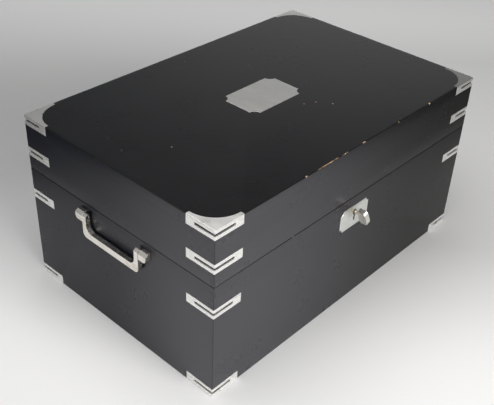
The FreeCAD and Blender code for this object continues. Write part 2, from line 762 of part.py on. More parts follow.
def sector(x0, x1, inner, outer, start, end):
    """A curved bar about the hinge axis, between two radii and two angles from level."""
    def point(radius, angle):
        a = radians(angle)
        return Vector(x0, HINGE_Y + radius * cos(a), SEAM + radius * sin(a))
    middle = (start + end) / 2
    edges = [
        Part.Arc(point(outer, start), point(outer, middle), point(outer, end)).toShape(),
        Part.LineSegment(point(outer, end), point(inner, end)).toShape(),
        Part.Arc(point(inner, end), point(inner, middle), point(inner, start)).toShape(),
        Part.LineSegment(point(inner, start), point(outer, start)).toShape(),
    ]
    return Part.Face(Part.Wire(edges)).extrude(Vector(x1 - x0, 0, 0))


def knuckle_spans(centre, first):
    """The lengths of every second knuckle, as pairs of X limits."""
    pitch = HINGE_LENGTH / HINGE_KNUCKLES
    spans = []
    for i in range(first, HINGE_KNUCKLES, 2):
        start = centre - HINGE_LENGTH / 2 + i * pitch
        low = start + (HINGE_KNUCKLE_GAP / 2 if i > 0 else 0)
        high = start + pitch - (HINGE_KNUCKLE_GAP / 2 if i < HINGE_KNUCKLES - 1 else 0)
        spans.append((low, high))
    return spans


def hinge_leaf(centre, up):
    """One leaf: a plate in the rim, its knuckles and the heel that stops the lid.

    The lid's leaf lies above the seam and the base's below it."""
    first = 1 if up else 0
    side = 1 if up else -1
    x0 = centre - HINGE_LENGTH / 2
    x1 = centre + HINGE_LENGTH / 2
    z0, z1 = sorted((SEAM, SEAM + side * HINGE_LEAF_THICKNESS))
    shapes = [block(x0, x1, BACK - HINGE_LEAF_DEPTH, BACK, z0, z1)]
    angles = sorted((side * (HINGE_OPENING / 2 + HEEL_GAP_ANGLE), side * (HINGE_OPENING / 2 + HEEL_SWEEP)))
    shapes.append(sector(x0, x1, HEEL_INNER_RADIUS, HEEL_OUTER_RADIUS, *angles))
    for low, high in knuckle_spans(centre, first):
        shapes.append(block(low, high, BACK - 1, HINGE_Y, z0, z1))
        axis_start = Vector(low, HINGE_Y, SEAM)
        shapes.append(Part.makeCylinder(HINGE_BARREL_RADIUS, high - low, axis_start, Vector(1, 0, 0)))
        shapes.append(sector(low, high, HINGE_PIN_RADIUS + 0.5, HEEL_INNER_RADIUS + 0.3, *angles))
    leaf = shapes[0].fuse(shapes[1:])
    radius = HINGE_PIN_RADIUS + (HINGE_PIN_GAP if up else 0)
    bore = Part.makeCylinder(radius, HINGE_LENGTH + 2, Vector(x0 - 1, HINGE_Y, SEAM), Vector(1, 0, 0))
    return leaf.cut(bore).removeSplitter()


def hinge_pin(centre):
    start = Vector(centre - HINGE_LENGTH / 2, HINGE_Y, SEAM)
    return Part.makeCylinder(HINGE_PIN_RADIUS, HINGE_LENGTH, start, Vector(1, 0, 0))


def hinge_screws(up):
    """The screws of both leaves, and the spaces that they take."""
    way = (0, 0, 1 if up else -1)
    solids = []
    spaces = []
    for centre in (-HINGE_OFFSET, HINGE_OFFSET):
        for step in (-1, 0, 1):
            head = (centre + step * HINGE_SCREW_PITCH, BACK - HINGE_LEAF_DEPTH / 2, SEAM)
            screw = countersunk_screw(head, way)
            solids.append(slotted(screw, head, way))
            spaces.append(screw)
            spaces.append(Part.makeCylinder(SCREW_HEAD_RADIUS, SCREW_SUNK, Vector(*head), Vector(*way)))
    return group(solids), group(spaces)


# Tray


def tray_limits():
    """The outer half length and half width of the tray, and its bottom and top."""
    x = LINED_X - TRAY_CLEARANCE
    y = LINED_Y - TRAY_CLEARANCE
    return x, y, RUNNER_TOP, RUNNER_TOP + TRAY_HEIGHT


def tray_long_board():
    x, y, low, high = tray_limits()
    board = block(-x, x, -y, -y + TRAY_BOARD, low, high)
    return board.makeChamfer(SMALL_ROUND, along(board, 0, (0, -y, high), (0, -y + TRAY_BOARD, high)))


def tray_end_board():
    """An end of the tray, with a rounded notch in its top edge for the fingers."""
    x, y, low, high = tray_limits()
    board = block(-x, -x + TRAY_BOARD, -y + TRAY_BOARD, y - TRAY_BOARD, low, high)
    half = NOTCH_LENGTH / 2
    notch = block(-x - 1, -x + TRAY_BOARD + 1, -half, half, high - NOTCH_DEPTH, high + NOTCH_DEPTH)
    floor = high - NOTCH_DEPTH
    notch = notch.makeFillet(NOTCH_ROUND, along(notch, 0, (0, -half, floor), (0, half, floor)))
    return board.cut(notch)


def tray_floor():
    x, y, low, high = tray_limits()
    t = TRAY_BOARD
    return block(-x + t, x - t, -y + t, y - t, low, low + TRAY_FLOOR)


def tray_divider():
    x, y, low, high = tray_limits()
    reach = y - TRAY_BOARD - DIVIDER_GAP
    foot = low + TRAY_FLOOR + DIVIDER_GAP
    half = DIVIDER_THICKNESS / 2
    board = block(DIVIDER_X - half, DIVIDER_X + half, -reach, reach, foot, foot + DIVIDER_HEIGHT)
    top = foot + DIVIDER_HEIGHT
    return board.makeChamfer(
        SMALL_ROUND, along(board, 1, (DIVIDER_X - half, 0, top), (DIVIDER_X + half, 0, top))
    )


# Humidifier


def humidifier_plan(inset, z0, z1):
    half_x = HUMIDIFIER_LENGTH / 2 - inset
    half_y = HUMIDIFIER_WIDTH / 2 - inset
    shape = block(HUMIDIFIER_X - half_x, HUMIDIFIER_X + half_x, -half_y, half_y, z0, z1)
    corners = [(HUMIDIFIER_X + sx * half_x, sy * half_y, 0) for sx in (-1, 1) for sy in (-1, 1)]
    return shape.makeFillet(HUMIDIFIER_ROUND - inset, along(shape, 2, *corners))


def humidifier_case():
    """A tub that opens towards the lid, with rows of slots in its lower face."""
    low = CEILING - HUMIDIFIER_DEPTH
    tub = humidifier_plan(0, low, CEILING)
    tub = tub.cut(humidifier_plan(HUMIDIFIER_WALL, low + HUMIDIFIER_WALL, CEILING + 1))
    run = HUMIDIFIER_LENGTH - 2 * HUMIDIFIER_SLOT_MARGIN
    pitch = run / HUMIDIFIER_SLOTS
    half_y = HUMIDIFIER_WIDTH / 2 - HUMIDIFIER_SLOT_MARGIN
    slots = []
    for i in range(HUMIDIFIER_SLOTS):
        x = HUMIDIFIER_X - run / 2 + (i + 0.5) * pitch
        half = HUMIDIFIER_SLOT_WIDTH / 2
        slots.append(block(x - half, x + half, -half_y, -half, low - 1, low + HUMIDIFIER_WALL + 1))
        slots.append(block(x - half, x + half, half, half_y, low - 1, low + HUMIDIFIER_WALL + 1))
    return tub.cut(slots)


def humidifier_plate():
    """The steel plate, fixed under the lid, that holds the humidifier."""
    return humidifier_plan(HUMIDIFIER_WALL + SPONGE_GAP, CEILING - HUMIDIFIER_PLATE, CEILING)


def humidifier_sponge():
    low = CEILING - HUMIDIFIER_DEPTH + HUMIDIFIER_WALL
    high = CEILING - HUMIDIFIER_PLATE - SPONGE_GAP
    return humidifier_plan(HUMIDIFIER_WALL + SPONGE_GAP, low, high)


# Hygrometer, facing down when the lid is closed


def disc(radius, z0, z1):
    return Part.makeCylinder(radius, z1 - z0, Vector(HYGROMETER_X, 0, z0))


def hygrometer_levels():
    """Lens, needle and dial from below: the bottom and top of each."""
    lens = CEILING - HYGROMETER_DEPTH + BEZEL_DEPTH
    needle = lens + LENS_THICKNESS + LENS_TO_NEEDLE
    dial = needle + NEEDLE_THICKNESS + NEEDLE_TO_DIAL
    return (
        (lens, lens + LENS_THICKNESS),
        (needle, needle + NEEDLE_THICKNESS),
        (dial, dial + DIAL_THICKNESS),
    )


def hygrometer_case():
    """A turned cup with a bezel lip below the lens and a step that the dial sits on."""
    low = CEILING - HYGROMETER_DEPTH
    lens, needle, dial = hygrometer_levels()
    inner = HYGROMETER_RADIUS - HYGROMETER_WALL
    cup = disc(HYGROMETER_RADIUS, low, CEILING)
    rim = [e for e in cup.Edges if max(v.Z for v in e.Vertexes) < low + 0.01 and e.Length > 1]
    cup = cup.makeFillet(1.2, rim)
    cup = cup.cut(disc(inner - BEZEL_WIDTH, low - 1, lens[0]))
    cup = cup.cut(disc(inner, lens[0], dial[1]))
    return cup.cut(disc(inner - DIAL_SEAT, dial[1], CEILING - HYGROMETER_BACK))


def hygrometer_lens():
    lens, needle, dial = hygrometer_levels()
    return disc(HYGROMETER_RADIUS - HYGROMETER_WALL, *lens)


def hygrometer_dial():
    """The dial with the arbor that carries the needle."""
    lens, needle, dial = hygrometer_levels()
    face = disc(HYGROMETER_RADIUS - HYGROMETER_WALL, *dial)
    return face.fuse(disc(ARBOR_RADIUS, needle[0] - 0.2, dial[0]))


def hygrometer_needle():
    lens, needle, dial = hygrometer_levels()
    w = NEEDLE_HALF_WIDTH
    tip = NEEDLE_TIP_HALF_WIDTH
    outline = [
        (-NEEDLE_TAIL, -w), (0, -w), (NEEDLE_LENGTH, -tip), (NEEDLE_LENGTH, tip), (0, w), (-NEEDLE_TAIL, w)
    ]
    pointer = prism(outline, *needle)
    pointer.rotate(Vector(0, 0, 0), Vector(0, 0, 1), NEEDLE_REST_ANGLE)
    pointer.translate(Vector(HYGROMETER_X, 0, 0))
    shape = pointer.fuse(disc(NEEDLE_HUB_RADIUS, *needle))
    return shape.cut(disc(ARBOR_RADIUS + ARBOR_GAP, needle[0] - 1, needle[1] + 1))


def make_pieces():
    """Every sub-part of the humidor, by name."""
    pieces, recesses = bracket_levels()
    pieces["name_plate"] = name_plate()
    pieces["escutcheon"] = escutcheon()

    pieces["lock_case"] = lock_case()
    pieces["lock_cover"] = lock_cover()
    pieces["lock_selvedge"] = lock_selvedge()
    pieces["lock_screws"] = lock_screws()
    pieces["lock_bolt"] = lock_bolt()
    pieces["lock_catch"] = lock_catch()
    pieces["catch_screws"] = catch_screws()
    pieces["key"] = key()

    back_post = handle_post()
    screw, screw_space = handle_screw()
    back_post = back_post.cut([handle_pin(), screw_space])
    left_posts = [back_post, mirrored_y(back_post)]
    pieces["left_handle_posts"] = group(left_posts)
    pieces["right_handle_posts"] = group([mirrored_x(s) for s in left_posts])
    pieces["handle_pins"] = group(at_four_corners(handle_pin()))
    pieces["handle_screws"] = group(at_four_corners(screw))
    pieces["left_handle_bail"] = bail()
    pieces["right_handle_bail"] = mirrored_x(bail())

    hinge_centres = (-HINGE_OFFSET, HINGE_OFFSET)
    base_screws, base_screw_space = hinge_screws(False)
    lid_screws, lid_screw_space = hinge_screws(True)
    base_leaves = [hinge_leaf(centre, False) for centre in hinge_centres]
    lid_leaves = [hinge_leaf(centre, True) for centre in hinge_centres]
    pieces["hinge_base_leaves"] = group([leaf.cut(base_screw_space) for leaf in base_leaves])
    pieces["hinge_lid_leaves"] = group([leaf.cut(lid_screw_space) for leaf in lid_leaves])
    pieces["hinge_pins"] = group([hinge_pin(centre) for centre in hinge_centres])
    pieces["hinge_base_screws"] = base_screws
    pieces["hinge_lid_screws"] = lid_screws

    base_cutters = [
        recesses["base_edge_brackets"], recesses["foot_brackets"], escutcheon_blank(), keyhole_space(),
        lock_space(), selvedge_blank(), lock_screw_space(), base_screw_space,
    ]
    base_cutters += base_leaves + at_four_corners(screw_space)
    lid_cutters = [recesses["lid_edge_brackets"], catch_blank(), catch_screw_space(), lid_screw_space]
    lid_cutters += lid_leaves
    for side, face in enumerate(FACES):
        pieces["base_" + face + "_panel"] = base_panel(side, base_cutters)
        pieces["lid_" + face + "_rail"] = lid_rail(side, lid_cutters)
    pieces["top_panel"] = top_panel([recesses["lid_corner_brackets"], pieces["name_plate"]])
    pieces["bottom_panel"] = bottom_panel()
    pieces["baize_pad"] = baize_pad()

    pieces["floor_lining"] = floor_lining()
    pieces["base_lining"] = base_lining()
    pieces["tray_runners"] = tray_runners()
    pieces["lid_lining"] = lid_lining()
    pieces["lid_ceiling"] = lid_ceiling()

    pieces["tray_front_board"] = tray_long_board()
    pieces["tray_back_board"] = mirrored_y(tray_long_board())
    pieces["tray_left_board"] = tray_end_board()
    pieces["tray_right_board"] = mirrored_x(tray_end_board())
    pieces["tray_floor"] = tray_floor()
    pieces["tray_divider"] = tray_divider()

    pieces["humidifier_case"] = humidifier_case()
    pieces["humidifier_plate"] = humidifier_plate()
    pieces["humidifier_sponge"] = humidifier_sponge()
    pieces["hygrometer_case"] = hygrometer_case()
    pieces["hygrometer_lens"] = hygrometer_lens()
    pieces["hygrometer_dial"] = hygrometer_dial()
    pieces["hygrometer_needle"] = hygrometer_needle()
    return pieces


def check(name, shape):
    """Stops the build if a piece is empty or broken."""
    if not shape.Solids or not shape.isValid() or shape.Volume < 0.5:
        raise ValueError("bad piece: " + name)
    return shape


os.makedirs("parts", exist_ok=True)
for name, shape in make_pieces().items():
    check(name, shape).exportStep("parts/" + name + ".step")
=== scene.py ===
from math import cos, pi, radians, sin

import bmesh
import bpy
from mathutils import Matrix, Vector


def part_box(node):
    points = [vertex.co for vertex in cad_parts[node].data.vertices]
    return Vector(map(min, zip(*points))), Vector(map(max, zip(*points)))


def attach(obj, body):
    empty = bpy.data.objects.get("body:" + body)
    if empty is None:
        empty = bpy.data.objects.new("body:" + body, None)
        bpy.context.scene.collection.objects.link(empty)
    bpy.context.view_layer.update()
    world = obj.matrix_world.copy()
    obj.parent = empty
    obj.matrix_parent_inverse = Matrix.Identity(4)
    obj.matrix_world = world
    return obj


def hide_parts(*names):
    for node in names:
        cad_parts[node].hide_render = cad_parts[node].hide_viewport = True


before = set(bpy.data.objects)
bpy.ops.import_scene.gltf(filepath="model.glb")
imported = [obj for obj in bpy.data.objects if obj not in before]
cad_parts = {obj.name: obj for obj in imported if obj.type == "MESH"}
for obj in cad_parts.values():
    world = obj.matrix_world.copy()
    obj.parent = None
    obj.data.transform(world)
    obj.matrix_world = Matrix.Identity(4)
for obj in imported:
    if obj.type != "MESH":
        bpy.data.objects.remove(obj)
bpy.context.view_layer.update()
bpy.ops.object.select_all(action="DESELECT")

# The camera stands at the photograph's place, in front of the chest's left end and above it.
# It looks down on the near edge from about a metre away, with a slight roll.
camera_place = Vector((-0.5681, -0.4877, 0.5801))
camera_azimuth = radians(-48.51)
camera_elevation = radians(34.94)
camera_roll = radians(2.64)
bpy.ops.object.camera_add()
camera = bpy.context.object
camera.data.lens = 59.25
camera.data.clip_start = 0.02
camera.matrix_world = (
    Matrix.Translation(camera_place)
    @ Matrix.Rotation(camera_azimuth, 4, "Z")
    @ Matrix.Rotation(pi / 2 - camera_elevation, 4, "X")
    @ Matrix.Rotation(camera_roll, 4, "Z")
)
bpy.context.scene.camera = camera
bpy.context.scene.view_settings.view_transform = "Standard"

# The table is a wide pale sheet whose colour is painted light and shade: pale in front, darker behind the chest and
# towards the sides, lifted to the right of the chest, darker still in what the chest reflects, and glowing far off. It
# is stage, not part of the chest.
table_radius = 3.5


def feed(tree, socket, value):
    """Gives a socket a plain value, or the output of another node."""
    if isinstance(value, bpy.types.NodeSocket):
        tree.links.new(value, socket)
    else:
        socket.default_value = value


def maths(tree, operation, *values):
    """One step of arithmetic on numbers or sockets."""
    step = tree.nodes.new("ShaderNodeMath")
    step.operation = operation
    for socket, value in zip(step.inputs, values):
        feed(tree, socket, value)
    return step.outputs[0]


def between(tree, value, start, end, low=0.0, high=1.0):
    """A smooth rise from low to high while a value goes from start to end."""
    step = tree.nodes.new("ShaderNodeMapRange")
    step.interpolation_type = "SMOOTHSTEP"
    for name, given in (("Value", value), ("From Min", start), ("From Max", end), ("To Min", low), ("To Max", high)):
        feed(tree, step.inputs[name], given)
    return step.outputs["Result"]


def blended(tree, share, first, second):
    """A colour part way from the first to the second."""
    step = tree.nodes.new("ShaderNodeMix")
    step.data_type = "RGBA"
    feed(tree, step.inputs[0], share)
    feed(tree, step.inputs[6], first)
    feed(tree, step.inputs[7], second)
    return step.outputs[2]


def stretched(tree, vector, scale, turn=(0, 0, 0), place=(0, 0, 0)):
    """Coordinates drawn out along the axes, after a turn."""
    step = tree.nodes.new("ShaderNodeMapping")
    step.vector_type = "POINT"
    tree.links.new(vector, step.inputs["Vector"])
    step.inputs["Location"].default_value = place
    step.inputs["Rotation"].default_value = turn
    step.inputs["Scale"].default_value = scale
    return step.outputs[0]


def clouds(tree, vector, scale, detail=3.0, roughness=0.5):
    """A soft uneven pattern between nought and one."""
    step = tree.nodes.new("ShaderNodeTexNoise")
    tree.links.new(vector, step.inputs["Vector"])
    feed(tree, step.inputs["Scale"], scale)
    step.inputs["Detail"].default_value = detail
    step.inputs["Roughness"].default_value = roughness
    return step.outputs["Fac"]


def along_way(tree, vector, way):
    """How far a point or direction reaches along a given way."""
    step = tree.nodes.new("ShaderNodeVectorMath")
    step.operation = "DOT_PRODUCT"
    tree.links.new(vector, step.inputs[0])
    step.inputs[1].default_value = way
    return step.outputs["Value"]


def relief(tree, height, depth, under=None):
    """A normal that is tilted by a height whose full range is so many metres deep."""
    step = tree.nodes.new("ShaderNodeBump")
    step.inputs["Strength"].default_value = 1.0
    step.inputs["Distance"].default_value = depth
    tree.links.new(height, step.inputs["Height"])
    if under is not None:
        tree.links.new(under, step.inputs["Normal"])
    return step.outputs[0]


def new_finish(name, colour, roughness, metallic=0.0):
    """A material, with its node tree, its shader and the coordinates of the piece that wears it."""
    material = bpy.data.materials.new(name)
    material.use_nodes = True
    material.diffuse_color = (*colour, 1.0)
    tree = material.node_tree
    shader = tree.nodes["Principled BSDF"]
    shader.inputs["Base Color"].default_value = (*colour, 1.0)
    shader.inputs["Roughness"].default_value = roughness
    shader.inputs["Metallic"].default_value = metallic
    coordinates = tree.nodes.new("ShaderNodeTexCoord").outputs["Object"]
    return material, tree, shader, coordinates


bpy.ops.mesh.primitive_circle_add(vertices=96, radius=table_radius, fill_type="NGON")
table = bpy.context.object
table.name = "table"
bpy.ops.object.mode_set(mode="EDIT")
bpy.ops.mesh.select_mode(type="EDGE")
bpy.ops.mesh.select_all(action="SELECT")
bpy.ops.mesh.region_to_loop()
for rise in (0.05, 0.15, 0.30):
    bpy.ops.mesh.extrude_edges_move(TRANSFORM_OT_translate={"value": (0, 0, rise)})
    bpy.ops.transform.resize(value=(1.08, 1.08, 1))
bpy.ops.object.mode_set(mode="OBJECT")

table_paper, tree, shader, coordinates = new_finish("table_paper", (0.80, 0.80, 0.81), 0.9)
shader.inputs["Specular IOR Level"].default_value = 0.0
# Paper tones along the forward way are painted light and shade: pale in front, darkest just behind the chest, pale
# again further back.
paper_painted_light_tones = (
    (-0.28, 0.85), (-0.18, 0.85), (-0.09, 0.725), (0.02, 0.60), (0.15, 0.48), (0.30, 0.40), (0.50, 0.56),
    (0.75, 0.88), (1.20, 0.60),
)
paper_start, paper_end = -0.5, 1.5
forward = (0.749, 0.663, 0.0)
depth = along_way(tree, coordinates, forward)
depth = maths(tree, "DIVIDE", maths(tree, "SUBTRACT", depth, paper_start), paper_end - paper_start)
ramp = tree.nodes.new("ShaderNodeValToRGB")
ramp.color_ramp.interpolation = "B_SPLINE"
while len(ramp.color_ramp.elements) < len(paper_painted_light_tones):
    ramp.color_ramp.elements.new(0.5)
for element, (place, tone) in zip(ramp.color_ramp.elements, paper_painted_light_tones):
    element.position = (place - paper_start) / (paper_end - paper_start)
    element.color = (tone, tone, tone * 1.005, 1)
tree.links.new(depth, ramp.inputs[0])
aside = maths(tree, "ABSOLUTE", along_way(tree, coordinates, (0.663, -0.749, 0.0)))
widening = maths(tree, "MULTIPLY", 0.3, maths(tree, "ABSOLUTE", along_way(tree, coordinates, forward)))
aside = maths(tree, "SUBTRACT", aside, widening)
seen = tree.nodes.new("ShaderNodeLightPath").outputs["Is Camera Ray"]
# For every ray but the camera's, the paper darkens towards the sides: painted shade in what the chest's faces reflect.
reflected_paper_painted_shade = blended(tree, between(tree, aside, 0.30, 0.52), ramp.outputs[0], (0.12, 0.12, 0.12, 1))
# For the camera the paper darkens towards the sides as painted shade, and to the right of the chest it is lifted as
# painted light over the chest's shadow.
rightward = between(tree, along_way(tree, coordinates, (0.663, -0.749, 0.0)), -0.05, 0.25)
painted_light_right = maths(tree, "MAXIMUM", maths(tree, "MULTIPLY", ramp.outputs[0], 1.03), 0.63)
seen_paper_painted_light = blended(tree, between(tree, aside, 0.25, 0.80), ramp.outputs[0], (0.46, 0.46, 0.465, 1))
seen_paper_painted_light = blended(tree, rightward, seen_paper_painted_light, painted_light_right)
tree.links.new(blended(tree, seen, reflected_paper_painted_shade, seen_paper_painted_light), shader.inputs["Base Color"])
reach = tree.nodes.new("ShaderNodeVectorMath")
reach.operation = "LENGTH"
tree.links.new(coordinates, reach.inputs[0])
# Far from the chest the paper glows for the camera: painted light.
far_painted_glow = maths(tree, "MULTIPLY", seen, between(tree, reach.outputs["Value"], 0.85, 2.2))
tree.links.new(blended(tree, far_painted_glow, (0, 0, 0, 1), (0.53, 0.53, 0.535, 1)), shader.inputs["Emission Color"])
shader.inputs["Emission Strength"].default_value = 1.0
table.data.materials.append(table_paper)

# Two broad soft boxes light the chest from the front, and the rest of the room is a plain grey
# that the lid and the metal mirror.
def soft_box(name, place, aim, width, height, power, colour):
    bpy.ops.object.light_add(type="AREA", location=place)
    lamp = bpy.context.object
    lamp.name = name
    lamp.data.shape = "RECTANGLE"
    lamp.data.size = width
    lamp.data.size_y = height
    lamp.data.energy = power
    lamp.data.color = colour
    way = Vector(aim) - Vector(place)
    lamp.rotation_euler = way.to_track_quat("-Z", "Y").to_euler()
    return lamp


soft_box("top_box", (-0.35, 0.10, 1.75), (0, 0, 0.1), 1.8, 1.8, 26, (1.0, 0.99, 0.975))
soft_box("near_box", (-0.25, -1.7, 1.2), (0, 0, 0.1), 1.2, 1.2, 26, (1.0, 0.985, 0.96))

world = bpy.data.worlds.new("room")
bpy.context.scene.world = world
world.use_nodes = True
tree = world.node_tree
sky = tree.nodes["Background"]
direction = tree.nodes.new("ShaderNodeTexCoord").outputs["Generated"]
backdrop = between(tree, along_way(tree, direction, (0.82, 0.57, 0.0)), 0.80, 1.02)
room = blended(tree, backdrop, (0.076, 0.080, 0.088, 1), (0.72, 0.72, 0.73, 1))
seen = tree.nodes.new("ShaderNodeLightPath").outputs["Is Camera Ray"]
tree.links.new(blended(tree, seen, room, (0.55, 0.55, 0.555, 1)), sky.inputs["Color"])
sky.inputs["Strength"].default_value = 1.0

# The chest is mitred from thin boards, primed and sprayed with satin black lacquer. The lacquer shows faint wood grain,
# fine scuffs and dust, and it has chipped down to tan wood on the lid's front edge. Each board's edges are eased, so
# the mitres and the seam show as fine dark grooves, deepened by painted shade. The side faces carry painted light near
# the front left corner and painted shade further off, and the chips a painted highlight.
lid_low, lid_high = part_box("top_panel")
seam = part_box("lid_front_rail")[0].z
half_length = lid_high.x
half_width = lid_high.y
top = lid_high.z
millimetre = 0.001


def new_group(name, inputs, outputs):
    """An empty shader node group with number sockets, and a vector where the name says so."""
    group = bpy.data.node_groups.new(name, "ShaderNodeTree")
    for socket in inputs:
        kind = "NodeSocketVector" if socket == "Vector" else "NodeSocketFloat"
        group.interface.new_socket(socket, in_out="INPUT", socket_type=kind)
    for socket in outputs:
        group.interface.new_socket(socket, in_out="OUTPUT", socket_type="NodeSocketFloat")
    entry = group.nodes.new("NodeGroupInput").outputs
    leave = group.nodes.new("NodeGroupOutput").inputs
    return group, entry, leave


def placed(tree, group, **values):
    """A node group set down in a material with its own values."""
    step = tree.nodes.new("ShaderNodeGroup")
    step.node_tree = group
    for name, value in values.items():
        feed(tree, step.inputs[name], value)
    return step.outputs


def make_scuffs():
    """Sparse hair scratches in three directions, as handling leaves on a polished face."""
    group, entry, leave = new_group("scuffs", ("Vector", "Scale", "Amount"), ("Mask",))
    total = 0.0
    for number, angle in enumerate((0.35, 1.25, -0.7)):
        turned = stretched(group, entry["Vector"], (1, 1, 1), turn=(angle, angle * 0.7, angle), place=(number, 0, 0))
        drawn = stretched(group, turned, (6, 700, 500))
        line = between(group, clouds(group, drawn, entry["Scale"], 2.0), 0.70, 0.76)
        patch = between(group, clouds(group, turned, 14.0, 1.0), 0.5, 0.62)
        total = maths(group, "MAXIMUM", total, maths(group, "MULTIPLY", line, patch))
    feed(group, leave["Mask"], maths(group, "MULTIPLY", total, entry["Amount"]))
    return group


def make_joint_gap():
    """How far a point on the chest's outside lies from the seam or the nearest mitre."""
    group, entry, leave = new_group("joint_gap", ("Vector",), ("Gap",))
    split = group.nodes.new("ShaderNodeSeparateXYZ")
    group.links.new(entry["Vector"], split.inputs[0])
    x, y, z = split.outputs
    to_side = maths(group, "SUBTRACT", half_length, maths(group, "ABSOLUTE", x))
    to_face = maths(group, "SUBTRACT", half_width, maths(group, "ABSOLUTE", y))
    to_seam = maths(group, "ABSOLUTE", maths(group, "SUBTRACT", z, seam))
    nearer = maths(group, "MINIMUM", to_side, to_face)
    farther = maths(group, "MAXIMUM", to_side, to_face)
    feed(group, leave["Gap"], maths(group, "MAXIMUM", nearer, maths(group, "MINIMUM", farther, to_seam)))
    return group


scuffs = make_scuffs()
joint_gap = make_joint_gap()

# The middle of each worn place and how far it reaches along the three axes
lid_edge = (-half_width, top)
worn_places = (
    (-0.086, *lid_edge, 0.0022, 0.0016, 0.0013),
    (-0.055, *lid_edge, 0.0240, 0.0010, 0.0008),
    (-0.030, *lid_edge, 0.0080, 0.0007, 0.0008),
    (-0.001, *lid_edge, 0.0032, 0.0020, 0.0016),
    (0.056, *lid_edge, 0.0016, 0.0012, 0.0012),
    (0.112, *lid_edge, 0.0024, 0.0016, 0.0014),
    (-0.098, -half_width, seam, 0.0016, 0.0014, 0.0013),
    (0.0376, -0.0622, top, 0.0011, 0.0009, 0.0010),
    (0.0283, -0.0476, top, 0.0016, 0.0007, 0.0010),
    (0.0159, -0.0420, top, 0.0010, 0.0006, 0.0010),
    (-0.138, -0.012, top, 0.0008, 0.0012, 0.0010),
    (0.024, 0.053, top, 0.0009, 0.0009, 0.0010),
    (0.041, 0.0575, top, 0.0011, 0.0008, 0.0010),
)


def make_lacquer():
    finish, tree, shader, at = new_finish("black_lacquer", (0.012, 0.012, 0.013), 0.28)
    shader.inputs["Specular IOR Level"].default_value = 0.25
    shader.inputs["Coat Roughness"].default_value = 0.28
    split = tree.nodes.new("ShaderNodeSeparateXYZ")
    tree.links.new(at, split.inputs[0])
    ragged = clouds(tree, at, 900.0, 3.0, 0.65)
    bare = 0.0
    for x, y, z, reach_x, reach_y, reach_z in worn_places:
        squares = 0.0
        for given, middle, reach in zip(split.outputs, (x, y, z), (reach_x, reach_y, reach_z)):
            share = maths(tree, "DIVIDE", maths(tree, "SUBTRACT", given, middle), reach)
            squares = maths(tree, "ADD", squares, maths(tree, "MULTIPLY", share, share))
        near = maths(tree, "SUBTRACT", 1.35, squares)
        bare = maths(tree, "MAXIMUM", bare, maths(tree, "SUBTRACT", near, maths(tree, "MULTIPLY", ragged, 1.7)))
    bare = between(tree, bare, 0.0, 0.12)
    gap = placed(tree, joint_gap, Vector=at)["Gap"]
    # Along the seam and the mitres the lacquer is darkened to near black as painted shade of the grooves, less at the
    # left end; the same mask lowers the coat and raises the roughness there.
    joint_painted_shade = between(tree, maths(tree, "ADD", gap, maths(tree, "MULTIPLY", ragged, 0.0003)), 0.0009, 0.0004)
    joint_painted_shade = maths(tree, "MULTIPLY", joint_painted_shade, between(tree, split.outputs["X"], -0.205, -0.11, 0.25, 0.95))
    scratch = placed(tree, scuffs, Vector=at, Scale=1.0, Amount=0.6)["Mask"]
    dust = between(tree, clouds(tree, at, 1500.0, 2.0, 0.6), 0.76, 0.80)
    uneven = clouds(tree, at, 22.0, 4.0, 0.6)
    grain = clouds(tree, stretched(tree, at, (18, 420, 420)), 1.0, 4.0, 0.6)
    colour = blended(tree, uneven, (0.0042, 0.0042, 0.0047, 1), (0.0080, 0.0080, 0.0086, 1))
    # The side faces take their own colour: a bluish painted light near the front left corner that gives way to painted
    # shade further along the faces.
    side = between(tree, split.outputs["Z"], top - 0.0004, top - 0.0020)
    away_from_lit_corner = between(tree, along_way(tree, at, (3.0, 6.4, 0.0)), -1.45, -0.43)
    dull_tone_and_side_light = blended(tree, uneven, (0.034, 0.034, 0.043, 1), (0.038, 0.038, 0.047, 1))
    far_side_painted_shade = blended(tree, between(tree, split.outputs["X"], -0.195, 0.02), (0.003, 0.004, 0.011, 1), (0.004, 0.004, 0.004, 1))
    dull_tone_and_side_light = blended(tree, away_from_lit_corner, dull_tone_and_side_light, far_side_painted_shade)
    colour = blended(tree, side, colour, dull_tone_and_side_light)
    flow = maths(tree, "SUBTRACT", 0.06, maths(tree, "MULTIPLY", away_from_lit_corner, 0.44))
    flow = maths(tree, "ADD", 0.38, maths(tree, "MULTIPLY", side, flow))
    colour = blended(tree, joint_painted_shade, colour, (0.0015, 0.0015, 0.0015, 1))
    feed(tree, shader.inputs["Coat Weight"], maths(tree, "MULTIPLY", maths(tree, "SUBTRACT", 1.0, joint_painted_shade), flow))
    colour = blended(tree, maths(tree, "MULTIPLY", scratch, 0.35), colour, (0.16, 0.16, 0.17, 1))
    colour = blended(tree, maths(tree, "MULTIPLY", dust, 0.30), colour, (0.35, 0.35, 0.36, 1))
    wood = blended(tree, between(tree, ragged, 0.35, 0.65), (0.46, 0.29, 0.165, 1), (0.22, 0.13, 0.075, 1))
    # Pale peach spots in the bare wood are a painted highlight.
    chip_painted_highlight = between(tree, clouds(tree, at, 420.0, 1.0), 0.58, 0.68)
    wood = blended(tree, chip_painted_highlight, wood, (0.72, 0.58, 0.44, 1))
    tree.links.new(blended(tree, bare, colour, wood), shader.inputs["Base Color"])
    gloss = between(tree, uneven, 0.25, 0.75, 0.27, 0.29)
    gloss = maths(tree, "ADD", gloss, maths(tree, "MULTIPLY", scratch, 0.15))
    gloss = maths(tree, "ADD", gloss, maths(tree, "MULTIPLY", joint_painted_shade, 0.6))
    feed(tree, shader.inputs["Roughness"], maths(tree, "ADD", gloss, maths(tree, "MULTIPLY", bare, 0.35)))
    fine = relief(tree, grain, 0.000003)
    peel = relief(tree, clouds(tree, at, 260.0, 1.0), 0.000008, fine)
    tree.links.new(relief(tree, maths(tree, "MULTIPLY", bare, -1.0), 0.0003, peel), shader.inputs["Normal"])
    return finish


